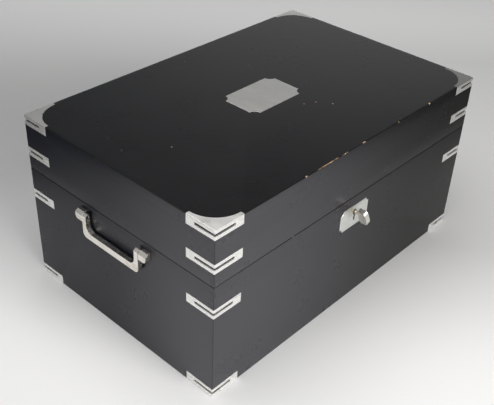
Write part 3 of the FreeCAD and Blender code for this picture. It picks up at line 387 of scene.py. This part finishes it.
def eased_copy(node, name, width, steps=2, angle=35.0):
    """A node's own shape again, joined into one skin, with its sharp edges broken."""
    bpy.ops.object.select_all(action="DESELECT")
    piece = bpy.data.objects.new(name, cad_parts[node].data.copy())
    piece.data.name = name
    piece.data.materials.clear()
    bpy.context.scene.collection.objects.link(piece)
    bpy.context.view_layer.objects.active = piece
    piece.select_set(True)
    bpy.ops.object.mode_set(mode="EDIT")
    bpy.ops.mesh.select_all(action="SELECT")
    bpy.ops.mesh.remove_doubles(threshold=0.000005)
    bpy.ops.mesh.dissolve_limited(angle_limit=radians(0.2))
    bpy.ops.object.mode_set(mode="OBJECT")
    if piece.data.has_custom_normals:
        bpy.ops.mesh.customdata_custom_splitnormals_clear()
    bpy.ops.object.shade_smooth_by_angle(angle=radians(30))
    if width > 0:
        bpy.ops.object.shade_smooth()
        ease = piece.modifiers.new("ease", "BEVEL")
        ease.width = width
        ease.segments = steps
        ease.limit_method = "ANGLE"
        ease.angle_limit = radians(angle)
        ease.use_clamp_overlap = True
        ease.harden_normals = True
        bpy.ops.object.modifier_apply(modifier="ease")
    return piece


black_lacquer = make_lacquer()
sides = ("front", "right", "back", "left")
boards = [("base_" + side + "_panel", "base") for side in sides]
boards += [("lid_" + side + "_rail", "lid") for side in sides] + [("top_panel", "lid")]
for node, body in boards:
    board = eased_copy(node, node + "_lacquered", 0.12 * millimetre, 1)
    board.data.materials.append(black_lacquer)
    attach(board, body)
    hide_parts(node)

# The inside is lined with plain Spanish cedar, unvarnished: thin boards glued to the walls, the
# floor and the underside of the lid, with two strips that carry the tray.
lining_inside = -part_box("lid_lining")[0].x - 0.005


def make_cedar_grain():
    """Long streaks, growth rings and short dark pores that run along X."""
    group, entry, leave = new_group("cedar_grain", ("Vector",), ("Shade", "Pores"))
    streaks = clouds(group, stretched(group, entry["Vector"], (4, 150, 150)), 1.0, 5.0, 0.65)
    wander = clouds(group, stretched(group, entry["Vector"], (1.6, 14, 14)), 1.0, 2.0)
    rings = maths(group, "SINE", maths(group, "MULTIPLY", wander, 70.0))
    shade = maths(group, "ADD", maths(group, "MULTIPLY", rings, 0.22), maths(group, "MULTIPLY", streaks, 0.9))
    feed(group, leave["Shade"], between(group, shade, 0.1, 0.8))
    pores = clouds(group, stretched(group, entry["Vector"], (110, 2200, 2200)), 1.0, 2.0, 0.7)
    feed(group, leave["Pores"], between(group, pores, 0.62, 0.72))
    return group


cedar_grain = make_cedar_grain()


def make_cedar(name, way):
    """Cedar whose grain runs along X, along Y, or round a frame of four boards."""
    finish, tree, shader, at = new_finish(name, (0.50, 0.25, 0.13), 0.62)
    across = stretched(tree, at, (1, 1, 1), turn=(0, 0, pi / 2))
    if way == "y":
        at = across
    if way == "frame":
        split = tree.nodes.new("ShaderNodeSeparateXYZ")
        tree.links.new(at, split.inputs[0])
        end_board = maths(tree, "GREATER_THAN", maths(tree, "ABSOLUTE", split.outputs["X"]), lining_inside)
        choice = tree.nodes.new("ShaderNodeMix")
        choice.data_type = "VECTOR"
        for socket, value in zip((choice.inputs[0], choice.inputs[4], choice.inputs[5]), (end_board, at, across)):
            tree.links.new(value, socket)
        at = choice.outputs[1]
    grain = placed(tree, cedar_grain, Vector=at)
    tone = clouds(tree, at, 9.0, 2.0)
    colour = blended(tree, grain["Shade"], (0.36, 0.155, 0.075, 1), (0.62, 0.34, 0.19, 1))
    colour = blended(tree, between(tree, tone, 0.35, 0.7, 0.0, 0.35), colour, (0.54, 0.25, 0.12, 1))
    colour = blended(tree, maths(tree, "MULTIPLY", grain["Pores"], 0.55), colour, (0.20, 0.08, 0.04, 1))
    tree.links.new(colour, shader.inputs["Base Color"])
    feed(tree, shader.inputs["Roughness"], between(tree, grain["Shade"], 0.0, 1.0, 0.70, 0.55))
    fibre = relief(tree, grain["Shade"], 0.00006)
    tree.links.new(relief(tree, maths(tree, "MULTIPLY", grain["Pores"], -1.0), 0.00005, fibre), shader.inputs["Normal"])
    return finish


cedar_along = make_cedar("cedar_along", "x")
cedar_across = make_cedar("cedar_across", "y")
cedar_frame = make_cedar("cedar_frame", "frame")
linings = (
    ("floor_lining", "base", cedar_along), ("base_lining", "base", cedar_frame),
    ("tray_runners", "base", cedar_along), ("lid_lining", "lid", cedar_frame),
    ("lid_ceiling", "lid", cedar_along),
)
for node, body, finish in linings:
    lining = eased_copy(node, node + "_cedar", 0.3 * millimetre)
    lining.data.materials.append(finish)
    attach(lining, body)
    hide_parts(node)

# The chest stands on green baize glued under a plain bottom board. The cloth is a short dense nap
# that hides its weave and has worn pale in patches.
def make_baize():
    finish, tree, shader, at = new_finish("green_baize", (0.018, 0.060, 0.032), 0.95)
    nap = clouds(tree, at, 2600.0, 3.0, 0.7)
    worn = between(tree, clouds(tree, at, 24.0, 4.0, 0.65), 0.45, 0.75)
    colour = blended(tree, nap, (0.010, 0.036, 0.019, 1), (0.030, 0.090, 0.050, 1))
    tree.links.new(blended(tree, maths(tree, "MULTIPLY", worn, 0.5), colour, (0.07, 0.12, 0.08, 1)), shader.inputs["Base Color"])
    shader.inputs["Sheen Weight"].default_value = 0.4
    tree.links.new(relief(tree, nap, 0.0004), shader.inputs["Normal"])
    return finish


baize = eased_copy("baize_pad", "baize_cloth", 0.5 * millimetre)
baize.data.materials.append(make_baize())
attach(baize, "base")
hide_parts("baize_pad")

bottom = eased_copy("bottom_panel", "bottom_board", 0.3 * millimetre)
bottom.data.materials.append(black_lacquer)
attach(bottom, "base")
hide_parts("bottom_panel")

# Sixteen slotted nickel angles are let flush into the vertical edges, four at each height. Those at
# the lid's corners have a plate on top with a hollow inner edge. They are sawn from sheet, brushed
# and pinned from inside, and are a little pitted.
def make_specks():
    """Small dark pits, and broad clouds of tarnish."""
    group, entry, leave = new_group("specks", ("Vector", "Scale"), ("Pits", "Tarnish"))
    pits = clouds(group, entry["Vector"], maths(group, "MULTIPLY", entry["Scale"], 900.0), 1.0, 0.5)
    feed(group, leave["Pits"], between(group, pits, 0.77, 0.82))
    tarnish = clouds(group, entry["Vector"], maths(group, "MULTIPLY", entry["Scale"], 70.0), 4.0, 0.65)
    feed(group, leave["Tarnish"], between(group, tarnish, 0.40, 0.75))
    return group


specks = make_specks()


def make_metal(name, colour, dull_tone_and_side_light, roughness, spread, pitting, brush, brushing, film=0.0):
    """A metal under a thin film, clean to dull in clouds, with pits, scuffs and a brushed grain."""
    finish, tree, shader, at = new_finish(name, colour, roughness, 1.0 - film)
    marks = placed(tree, specks, Vector=at, Scale=1.0)
    scratch = placed(tree, scuffs, Vector=at, Scale=1.0, Amount=0.6)["Mask"]
    tone = blended(tree, marks["Tarnish"], (*colour, 1), (*dull_tone_and_side_light, 1))
    tone = blended(tree, maths(tree, "MULTIPLY", marks["Pits"], pitting), tone, (0.10, 0.065, 0.04, 1))
    tree.links.new(tone, shader.inputs["Base Color"])
    lines = clouds(tree, stretched(tree, at, brush), 1.0, 3.0, 0.6)
    gloss = maths(tree, "ADD", between(tree, marks["Tarnish"], 0, 1, roughness, roughness + spread), maths(tree, "MULTIPLY", scratch, 0.2))
    gloss = maths(tree, "ADD", gloss, maths(tree, "MULTIPLY", maths(tree, "SUBTRACT", lines, 0.5), brushing))
    feed(tree, shader.inputs["Roughness"], gloss)
    brushed = relief(tree, lines, 0.00001 * brushing)
    tree.links.new(relief(tree, maths(tree, "MULTIPLY", marks["Pits"], -1.0), 0.00004, brushed), shader.inputs["Normal"])
    return finish


satin_nickel = make_metal("satin_nickel", (0.96, 0.955, 0.93), (0.90, 0.89, 0.85), 0.30, 0.08, 0.8, (60, 60, 1400), 0.5, 0.32)
# The tops of the corner plates are blended towards dark grey at every corner but the front left one, most at the right
# front: painted shade.
far_corner = (0.84, -0.55, 0.0)
tree = satin_nickel.node_tree
shader = tree.nodes["Principled BSDF"]
at = tree.nodes.new("ShaderNodeTexCoord").outputs["Object"]
split = tree.nodes.new("ShaderNodeSeparateXYZ")
tree.links.new(at, split.inputs[0])
on_top = between(tree, split.outputs["Z"], top - 0.0006, top - 0.0002)
top_painted_shade = between(tree, along_way(tree, at, far_corner), 0.02, 0.22, 0.0, 0.89)
top_painted_shade = maths(tree, "MAXIMUM", top_painted_shade, between(tree, along_way(tree, at, (0.84, 0.54, 0.0)), -0.22, -0.10, 0.0, 0.50))
top_painted_shade = maths(tree, "MULTIPLY", on_top, top_painted_shade)
clean = shader.inputs["Base Color"].links[0].from_socket
tree.links.new(blended(tree, top_painted_shade, clean, (0.20, 0.20, 0.19, 1)), shader.inputs["Base Color"])
brackets = (
    ("lid_corner_brackets", "lid"), ("lid_edge_brackets", "lid"),
    ("base_edge_brackets", "base"), ("foot_brackets", "base"),
)
for node, body in brackets:
    angle = eased_copy(node, node + "_brushed", 0.2 * millimetre)
    angle.data.materials.append(satin_nickel)
    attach(angle, body)
    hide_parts(node)

# The name plate lies flush in the middle of the lid. It is a blank nickel plate with scooped
# corners, filed to a bright bevel all round, and pitted by damp fingers.
def start_block(name, low, high):
    """A cube set to its size and place, ready to be shaped."""
    bpy.ops.object.select_all(action="DESELECT")
    middle = (Vector(low) + Vector(high)) / 2
    bpy.ops.mesh.primitive_cube_add(size=1, location=middle, scale=Vector(high) - Vector(low))
    piece = bpy.context.object
    piece.name = name
    piece.data.name = name
    bpy.ops.object.transform_apply(location=True, rotation=True, scale=True)
    return piece


def choose(piece, kind, test):
    """Selects the faces or edges of the piece in edit mode whose middle and normal or run fit."""
    bpy.ops.object.mode_set(mode="EDIT")
    bpy.ops.mesh.select_mode(type=kind)
    bpy.ops.mesh.select_all(action="DESELECT")
    shape = bmesh.from_edit_mesh(piece.data)
    for part in shape.faces if kind == "FACE" else shape.edges:
        if kind == "FACE":
            middle, way = part.calc_center_median(), part.normal
        else:
            first, second = part.verts
            middle, way = (first.co + second.co) / 2, (second.co - first.co).normalized()
        part.select_set(bool(test(middle, way)))
    shape.select_flush_mode()
    bmesh.update_edit_mesh(piece.data)


def near(a, b):
    return abs(a - b) < 0.00002


def shape_edges(piece, test, offset, segments, profile=0.5):
    """Rounds, chamfers or scoops the chosen edges."""
    choose(piece, "EDGE", test)
    bpy.ops.mesh.bevel(offset=offset, segments=segments, profile=profile, affect="EDGES")
    bpy.ops.object.mode_set(mode="OBJECT")


def break_edges(piece, width, segments=2, angle=35.0):
    """Takes the sharpness off every hard edge, and shades the rounds smooth."""
    bpy.ops.object.select_all(action="DESELECT")
    bpy.context.view_layer.objects.active = piece
    piece.select_set(True)
    bpy.ops.object.shade_smooth()
    ease = piece.modifiers.new("ease", "BEVEL")
    ease.width = width
    ease.segments = segments
    ease.limit_method = "ANGLE"
    ease.angle_limit = radians(angle)
    ease.harden_normals = True
    bpy.ops.object.modifier_apply(modifier="ease")


hollow_round = 0.0858
plate_scoop = 7.5 * millimetre
plate_bevel = 0.6 * millimetre
plate_low, plate_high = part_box("name_plate")
plate = start_block("blank_name_plate", plate_low, plate_high)
shape_edges(plate, lambda middle, way: abs(way.z) > 0.9, plate_scoop, 10, hollow_round)
choose(plate, "FACE", lambda middle, way: way.z > 0.9)
bpy.ops.mesh.inset(thickness=plate_bevel, use_even_offset=True)
bpy.ops.object.mode_set(mode="OBJECT")
choose(plate, "EDGE", lambda middle, way: near(middle.z, plate_high.z) and abs(way.z) < 0.1)
rim = bmesh.from_edit_mesh(plate.data)
for vertex in rim.verts:
    if near(vertex.co.z, plate_high.z) and any(face.normal.z < 0.5 for face in vertex.link_faces):
        vertex.co.z -= plate_bevel
bmesh.update_edit_mesh(plate.data)
bpy.ops.object.mode_set(mode="OBJECT")
break_edges(plate, 0.06 * millimetre, 1, 25)
plate_nickel = make_metal("plate_nickel", (0.66, 0.655, 0.63), (0.60, 0.59, 0.56), 0.42, 0.06, 1.0, (900, 60, 60), 0.4, 0.15)
plate.data.materials.append(plate_nickel)
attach(plate, "lid")
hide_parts("name_plate")

# The escutcheon is a smaller plate of the same pattern on the front, a little proud of the lacquer,
# pierced by a keyhole and polished where the key's bow has brushed it.
escutcheon = eased_copy("escutcheon", "escutcheon_plate", 0.35 * millimetre, 2, 25)
escutcheon_nickel = make_metal("escutcheon_nickel", (0.86, 0.86, 0.83), (0.78, 0.78, 0.75), 0.32, 0.08, 0.8, (60, 60, 1400), 0.5, 0.04)
escutcheon.data.materials.append(escutcheon_nickel)
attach(escutcheon, "base")
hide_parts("escutcheon")

# The box lock is a folded steel case mortised into the front board, with its cover plate inside,
# a nickel selvedge on the rim, a sliding bolt, and a catch with two eyes on the lid.
lock_steel = make_metal("lock_steel", (0.22, 0.215, 0.21), (0.15, 0.145, 0.135), 0.42, 0.12, 0.6, (60, 60, 1500), 0.5)
hinge_nickel = make_metal("hinge_nickel", (0.82, 0.80, 0.74), (0.66, 0.62, 0.54), 0.26, 0.14, 0.7, (1500, 60, 60), 0.35)
lock_parts = (
    ("lock_case", "base", lock_steel, "lock_steel"), ("lock_cover", "base", lock_steel, "lock_steel"),
    ("lock_bolt", "bolt", lock_steel, "lock_steel"), ("lock_selvedge", "base", hinge_nickel, "hinge_nickel"),
    ("lock_screws", "base", hinge_nickel, "hinge_nickel"), ("lock_catch", "lid", hinge_nickel, "hinge_nickel"),
    ("catch_screws", "lid", hinge_nickel, "hinge_nickel"),
)
for node, body, finish, slot in lock_parts:
    part = eased_copy(node, node + "_finished", 0.08 * millimetre)
    part.data.materials.append(finish)
    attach(part, body)
    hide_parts(node)

# The key has a solid block bow with its lower corners rounded and its upper front edge chamfered, a turned shaft with
# two collars, and a stepped bit. The bow is polished nickel; its broad sides wear a rougher, half-diffuse copy of that
# nickel, painted light that makes them read light grey. The plating on the shaft is worn down to warm metal.
key_polish = make_metal("key_polish", (0.88, 0.86, 0.82), (0.76, 0.72, 0.66), 0.18, 0.10, 0.6, (60, 900, 60), 0.25, 0.03)
key_side_painted_light = make_metal("key_side_painted_light", (0.84, 0.82, 0.77), (0.70, 0.68, 0.61), 0.46, 0.08, 0.8, (60, 900, 60), 0.5, 0.60)
key_warm = make_metal("key_warm", (0.90, 0.82, 0.66), (0.78, 0.68, 0.48), 0.24, 0.10, 0.6, (60, 900, 60), 0.25, 0.10)
lock_x = -2.0 * millimetre
key_z = seam - 19.5 * millimetre
key_turn = radians(24.0)
bow_width = 5.4 * millimetre
bow_front, bow_back = -16.2 * millimetre, -6.6 * millimetre
bow_below, bow_above = -10.6 * millimetre, 7.6 * millimetre
bow_round = 3.2 * millimetre
bow_chamfer = 1.8 * millimetre
shaft_radius = 1.8 * millimetre
shaft_tip = 10.4 * millimetre
bit_low, bit_back = -8.6 * millimetre, 9.5 * millimetre
bit_front = 6.0 * millimetre
bit_half = 0.9 * millimetre

bow = start_block("key_bow", (-bow_width / 2, bow_front, bow_below), (bow_width / 2, bow_back, bow_above))
shape_edges(bow, lambda middle, way: abs(way.x) > 0.9 and near(middle.z, bow_below), bow_round, 8)
shape_edges(
    bow, lambda middle, way: abs(way.x) > 0.9 and near(middle.z, bow_above) and near(middle.y, bow_front),
    bow_chamfer, 1,
)
break_edges(bow, 0.3 * millimetre, 3)
for finish in (key_polish, key_side_painted_light):
    bow.data.materials.append(finish)
choose(bow, "FACE", lambda middle, way: abs(way.x) > 0.95)
bow.active_material_index = 1
bpy.ops.object.material_slot_assign()
bpy.ops.object.mode_set(mode="OBJECT")

bpy.ops.object.select_all(action="DESELECT")
shaft_middle = (bow_back - millimetre + shaft_tip) / 2
bpy.ops.mesh.primitive_cylinder_add(
    vertices=40, radius=shaft_radius, depth=shaft_tip - bow_back + millimetre,
    location=(0, shaft_middle, 0), rotation=(pi / 2, 0, 0),
)
shaft = bpy.context.object
shaft.name = "key_shaft"
bpy.ops.object.transform_apply(location=True, rotation=True, scale=True)
collars = ((-6.5 * millimetre, -5.3 * millimetre, 0.7 * millimetre), (-4.7 * millimetre, -4.1 * millimetre, 0.4 * millimetre))
for front, back, rise in collars:
    for place in (front, back):
        bpy.ops.object.mode_set(mode="EDIT")
        bpy.ops.mesh.select_all(action="SELECT")
        bpy.ops.mesh.bisect(plane_co=(0, place, 0), plane_no=(0, 1, 0))
        bpy.ops.object.mode_set(mode="OBJECT")
    choose(shaft, "FACE", lambda middle, way: front < middle.y < back and abs(way.y) < 0.5)
    bpy.ops.mesh.extrude_region_shrink_fatten(TRANSFORM_OT_shrink_fatten={"value": rise})
    bpy.ops.object.mode_set(mode="OBJECT")
choose(shaft, "FACE", lambda middle, way: way.y > 0.9 and near(middle.y, shaft_tip))
bpy.ops.mesh.inset(thickness=0.9 * millimetre)
bpy.ops.mesh.extrude_region_move(TRANSFORM_OT_translate={"value": (0, -5.0 * millimetre, 0)})
bpy.ops.object.mode_set(mode="OBJECT")
break_edges(shaft, 0.12 * millimetre)
shaft.data.materials.append(key_warm)

bit = start_block("key_bit", (-bit_half, bit_front, bit_low), (bit_half, bit_back, -millimetre))
break_edges(bit, 0.15 * millimetre)
bit.data.materials.append(key_warm)

bpy.ops.object.select_all(action="DESELECT")
for part in (shaft, bit, bow):
    part.select_set(True)
bpy.context.view_layer.objects.active = bow
bpy.ops.object.join()
key = bow
key.name = "polished_key"
key.matrix_world = (
    Matrix.Translation((lock_x, -half_width, key_z)) @ Matrix.Rotation(key_turn, 4, Vector((0, -1, 0)))
)
bpy.ops.object.transform_apply(location=True, rotation=True, scale=True)
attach(key, "key")
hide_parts("key")

# A drop handle hangs at each end between two square posts that are screwed on from inside. The bail
# is sawn from nickel bar, swings on two pins and is polished on its broad outer face. Posts and legs
# are filed to one slope on top.
bright_nickel = make_metal("bright_nickel", (0.84, 0.81, 0.76), (0.70, 0.66, 0.59), 0.22, 0.10, 0.8, (60, 900, 60), 0.25, 0.03)
post_low, post_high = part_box("left_handle_posts")
post_width = 10.2 * millimetre
post_round = 4.0 * millimetre
bail_low, bail_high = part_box("left_handle_bail")
bail_leg = 5.4 * millimetre
bail_bar = 7.0 * millimetre
bail_outer_round = 5.5 * millimetre
bail_inner_round = 7.5 * millimetre
bail_heel_round = 2.0 * millimetre
slope_drop = 2.0 * millimetre
# The filed slopes on top wear a rougher, darker copy of the nickel: the rougher finish is the filing, the darker colour
# is painted shade.
slope_nickel = make_metal("slope_nickel", (0.45, 0.44, 0.41), (0.36, 0.35, 0.31), 0.44, 0.06, 0.8, (60, 900, 60), 0.5, 0.40)


def make_post(name, side):
    """A post at the front, side -1, or at the back, side 1, of the left end."""
    outer = post_high.y * side
    inner = outer - post_width * side
    low = (post_low.x, min(inner, outer), post_low.z)
    high = (post_high.x, max(inner, outer), post_high.z)
    post = start_block(name, low, high)
    shape_edges(
        post, lambda middle, way: abs(way.x) > 0.9 and near(middle.y, outer) and near(middle.z, post_low.z),
        post_round, 8,
    )
    bpy.ops.object.mode_set(mode="EDIT")
    bpy.ops.mesh.select_all(action="SELECT")
    bpy.ops.mesh.bisect(plane_co=(post_low.x + 3.6 * millimetre, 0, 0), plane_no=(1, 0, 0))
    bpy.ops.object.mode_set(mode="OBJECT")
    choose(post, "EDGE", lambda middle, way: abs(way.y) > 0.9 and near(middle.x, post_low.x) and near(middle.z, post_high.z))
    bpy.ops.transform.translate(value=(0, 0, -slope_drop))
    bpy.ops.object.mode_set(mode="OBJECT")
    return post


def make_bail(name):
    """A bar whose two ends are drawn up into legs, with round corners inside and out."""
    bail = start_block(name, bail_low, (bail_high.x, bail_high.y, bail_low.z + bail_bar))
    inner = bail_high.y - bail_leg
    for place in (-inner, inner):
        bpy.ops.object.mode_set(mode="EDIT")
        bpy.ops.mesh.select_all(action="SELECT")
        bpy.ops.mesh.bisect(plane_co=(0, place, 0), plane_no=(0, 1, 0))
        bpy.ops.object.mode_set(mode="OBJECT")
    choose(bail, "FACE", lambda middle, way: way.z > 0.9 and abs(middle.y) > inner)
    rise = bail_high.z - bail_low.z - bail_bar
    bpy.ops.mesh.extrude_region_move(TRANSFORM_OT_translate={"value": (0, 0, rise)})
    bpy.ops.object.mode_set(mode="OBJECT")
    shape_edges(
        bail, lambda middle, way: abs(way.x) > 0.9 and near(abs(middle.y), bail_high.y) and near(middle.z, bail_low.z),
        bail_outer_round, 8,
    )
    shape_edges(
        bail, lambda middle, way: abs(way.x) > 0.9 and near(abs(middle.y), inner) and near(middle.z, bail_low.z + bail_bar),
        bail_inner_round, 8,
    )
    shape_edges(
        bail, lambda middle, way: abs(way.y) > 0.9 and near(middle.x, bail_high.x) and near(middle.z, bail_high.z),
        bail_heel_round, 5,
    )
    choose(bail, "EDGE", lambda middle, way: abs(way.y) > 0.9 and near(middle.x, bail_low.x) and near(middle.z, bail_high.z))
    bpy.ops.transform.translate(value=(0, 0, -slope_drop))
    bpy.ops.object.mode_set(mode="OBJECT")
    return bail


def mirrored(piece, name):
    """The same piece for the right end, turned right side out again."""
    bpy.ops.object.select_all(action="DESELECT")
    twin = bpy.data.objects.new(name, piece.data.copy())
    twin.data.name = name
    bpy.context.scene.collection.objects.link(twin)
    bpy.context.view_layer.objects.active = twin
    twin.select_set(True)
    twin.scale.x = -1
    bpy.ops.object.transform_apply(location=True, rotation=True, scale=True)
    bpy.ops.object.mode_set(mode="EDIT")
    bpy.ops.mesh.select_all(action="SELECT")
    bpy.ops.mesh.normals_make_consistent(inside=False)
    bpy.ops.object.mode_set(mode="OBJECT")
    return twin


left_posts = [make_post("left_front_post", -1), make_post("left_back_post", 1)]
right_posts = [mirrored(post, post.name.replace("left", "right")) for post in left_posts]
left_bail = make_bail("left_bail_bar")
right_bail = mirrored(left_bail, "right_bail_bar")
handle_pieces = (
    (left_posts, "base", "left_handle_posts"), (right_posts, "base", "right_handle_posts"),
    ([left_bail], "left_bail", "left_handle_bail"), ([right_bail], "right_bail", "right_handle_bail"),
)
for group, body, node in handle_pieces:
    for part in group:
        break_edges(part, 0.35 * millimetre, 2, 20)
        part.data.materials.append(bright_nickel)
        part.data.materials.append(slope_nickel)
        choose(part, "FACE", lambda middle, way: way.z > 0.6 and abs(way.x) > 0.3 and middle.z > bail_high.z - 2.2 * millimetre)
        part.active_material_index = 1
        bpy.ops.object.material_slot_assign()
        bpy.ops.object.mode_set(mode="OBJECT")
        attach(part, body)
        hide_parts(node)
for node, width in (("handle_pins", 0.25 * millimetre), ("handle_screws", 0.1 * millimetre)):
    part = eased_copy(node, node + "_turned", width)
    part.data.materials.append(bright_nickel)
    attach(part, "base")
    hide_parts(node)

# Two stop hinges are let into the back rims and fixed with countersunk screws. Their knuckles turn
# on plain pins, and the heels behind them meet to hold the lid open.
hinge_parts = (
    ("hinge_base_leaves", "base", 0.18), ("hinge_lid_leaves", "lid", 0.18), ("hinge_pins", "base", 0.2),
    ("hinge_base_screws", "base", 0.06), ("hinge_lid_screws", "lid", 0.06),
)
for node, body, width in hinge_parts:
    part = eased_copy(node, node + "_finished", width * millimetre)
    part.data.materials.append(hinge_nickel)
    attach(part, body)
    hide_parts(node)

# The tray is a shallow cedar box with finger notches in its ends and a loose divider that slides
# along it. It is made of the same bare cedar as the lining.
tray_parts = (
    ("tray_front_board", "tray", cedar_along), ("tray_back_board", "tray", cedar_along),
    ("tray_left_board", "tray", cedar_across), ("tray_right_board", "tray", cedar_across),
    ("tray_floor", "tray", cedar_along), ("tray_divider", "divider", cedar_across),
)
for node, body, finish in tray_parts:
    part = eased_copy(node, node + "_cedar", 0.35 * millimetre)
    part.data.materials.append(finish)
    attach(part, body)
    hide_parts(node)

# The humidifier is a moulded black tub with slots, which clings by a steel plate under the lid and
# holds a block of green flower foam.
def make_plastic():
    finish, tree, shader, at = new_finish("black_plastic", (0.018, 0.018, 0.020), 0.48)
    spark = clouds(tree, at, 1300.0, 2.0, 0.6)
    wear = clouds(tree, at, 40.0, 3.0, 0.6)
    tree.links.new(blended(tree, wear, (0.012, 0.012, 0.013, 1), (0.028, 0.028, 0.030, 1)), shader.inputs["Base Color"])
    feed(tree, shader.inputs["Roughness"], between(tree, wear, 0.2, 0.8, 0.42, 0.56))
    tree.links.new(relief(tree, spark, 0.00003), shader.inputs["Normal"])
    return finish


def make_foam():
    finish, tree, shader, at = new_finish("flower_foam", (0.09, 0.22, 0.12), 0.95)
    cells = tree.nodes.new("ShaderNodeTexVoronoi")
    tree.links.new(at, cells.inputs["Vector"])
    cells.inputs["Scale"].default_value = 1400.0
    wall = between(tree, cells.outputs["Distance"], 0.15, 0.75)
    tree.links.new(blended(tree, wall, (0.035, 0.10, 0.055, 1), (0.13, 0.30, 0.17, 1)), shader.inputs["Base Color"])
    tree.links.new(relief(tree, wall, 0.0005), shader.inputs["Normal"])
    return finish


humidifier_parts = (
    ("humidifier_case", make_plastic(), "black_plastic", 0.4), ("humidifier_plate", lock_steel, "lock_steel", 0.1),
    ("humidifier_sponge", make_foam(), "sponge", 0.3),
)
for node, finish, slot, width in humidifier_parts:
    part = eased_copy(node, node + "_finished", width * millimetre)
    part.data.materials.append(finish)
    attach(part, "lid")
    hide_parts(node)

# The hygrometer is a turned brass cup with a glass, a white card dial with plain numbers, and a
# black needle on an arbor. It faces down into the closed chest and forward when the lid is open.
dial_middle_x = 85.0 * millimetre
dial_low, dial_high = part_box("hygrometer_dial")
dial_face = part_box("hygrometer_needle")[1].z + 0.6 * millimetre
dial_radius = 21.5 * millimetre
scale_start, scale_end = 150.0, 390.0
scale_steps = 50
print_depth = 0.05 * millimetre


def make_card():
    finish, tree, shader, at = new_finish("dial_card", (0.86, 0.85, 0.80), 0.6)
    fibre = clouds(tree, at, 900.0, 4.0, 0.7)
    stain = between(tree, clouds(tree, at, 60.0, 3.0), 0.5, 0.8)
    colour = blended(tree, fibre, (0.82, 0.81, 0.76, 1), (0.89, 0.88, 0.84, 1))
    tree.links.new(blended(tree, maths(tree, "MULTIPLY", stain, 0.3), colour, (0.74, 0.70, 0.58, 1)), shader.inputs["Base Color"])
    tree.links.new(relief(tree, fibre, 0.00002), shader.inputs["Normal"])
    return finish


def make_paint(name, colour, paler):
    finish, tree, shader, at = new_finish(name, colour, 0.45)
    uneven = clouds(tree, at, 700.0, 3.0, 0.6)
    tree.links.new(blended(tree, uneven, (*colour, 1), (*paler, 1)), shader.inputs["Base Color"])
    feed(tree, shader.inputs["Roughness"], between(tree, uneven, 0.2, 0.8, 0.38, 0.55))
    tree.links.new(relief(tree, uneven, 0.00001), shader.inputs["Normal"])
    return finish


needle_black = make_paint("needle_black", (0.012, 0.012, 0.012), (0.03, 0.03, 0.03))
gauge_brass = make_metal("gauge_brass", (0.86, 0.64, 0.30), (0.66, 0.45, 0.19), 0.20, 0.16, 0.6, (1200, 1200, 60), 0.2)
marks = []
for step in range(scale_steps + 1):
    angle = radians(scale_start + (scale_end - scale_start) * step / scale_steps)
    length = 3.4 * millimetre if step % 10 == 0 else 2.2 * millimetre if step % 5 == 0 else 1.3 * millimetre
    half = 0.22 * millimetre if step % 5 == 0 else 0.12 * millimetre
    tick = start_block("tick", (dial_radius - length, -half, -print_depth), (dial_radius, half, 0))
    tick.matrix_world = Matrix.Translation((dial_middle_x, 0, dial_face)) @ Matrix.Rotation(angle, 4, "Z")
    bpy.ops.object.transform_apply(location=True, rotation=True, scale=True)
    marks.append(tick)
for number in range(0, 101, 20):
    angle = radians(scale_start + (scale_end - scale_start) * number / 100)
    bpy.ops.object.select_all(action="DESELECT")
    bpy.ops.object.text_add()
    label = bpy.context.object
    label.data.body = str(number)
    label.data.size = 4.6 * millimetre
    label.data.align_x = "CENTER"
    label.data.align_y = "CENTER"
    label.data.extrude = print_depth / 2
    bpy.ops.object.convert(target="MESH")
    reach = dial_radius - 6.3 * millimetre
    place = Vector((dial_middle_x + reach * cos(angle), reach * sin(angle), dial_face - print_depth / 2))
    label.matrix_world = Matrix.Translation(place) @ Matrix.Rotation(pi, 4, "X")
    bpy.ops.object.transform_apply(location=True, rotation=True, scale=True)
    marks.append(label)
bpy.ops.object.select_all(action="DESELECT")
for mark in marks:
    mark.select_set(True)
bpy.context.view_layer.objects.active = marks[0]
bpy.ops.object.join()
scale_print = marks[0]
scale_print.name = "dial_scale"
scale_print.data.materials.clear()
scale_print.data.materials.append(needle_black)
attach(scale_print, "lid")

gauge_parts = (
    ("hygrometer_case", "lid", gauge_brass, "gauge_brass", 0.25), ("hygrometer_dial", "lid", make_card(), "dial_card", 0.0),
    ("hygrometer_needle", "needle", needle_black, "needle_black", 0.08),
)
for node, body, finish, slot, width in gauge_parts:
    part = eased_copy(node, node + "_finished", width * millimetre)
    part.data.materials.append(finish)
    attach(part, body)
    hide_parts(node)

glass, tree, shader, at = new_finish("gauge_glass", (0.97, 0.98, 0.98), 0.02)
shader.inputs["Transmission Weight"].default_value = 1.0
shader.inputs["IOR"].default_value = 1.45
smear = clouds(tree, at, 45.0, 3.0, 0.6)
feed(tree, shader.inputs["Roughness"], between(tree, smear, 0.4, 0.8, 0.01, 0.07))
lens = eased_copy("hygrometer_lens", "hygrometer_glass", 0.3 * millimetre)
lens.data.materials.append(glass)
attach(lens, "lid")
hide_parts("hygrometer_lens")
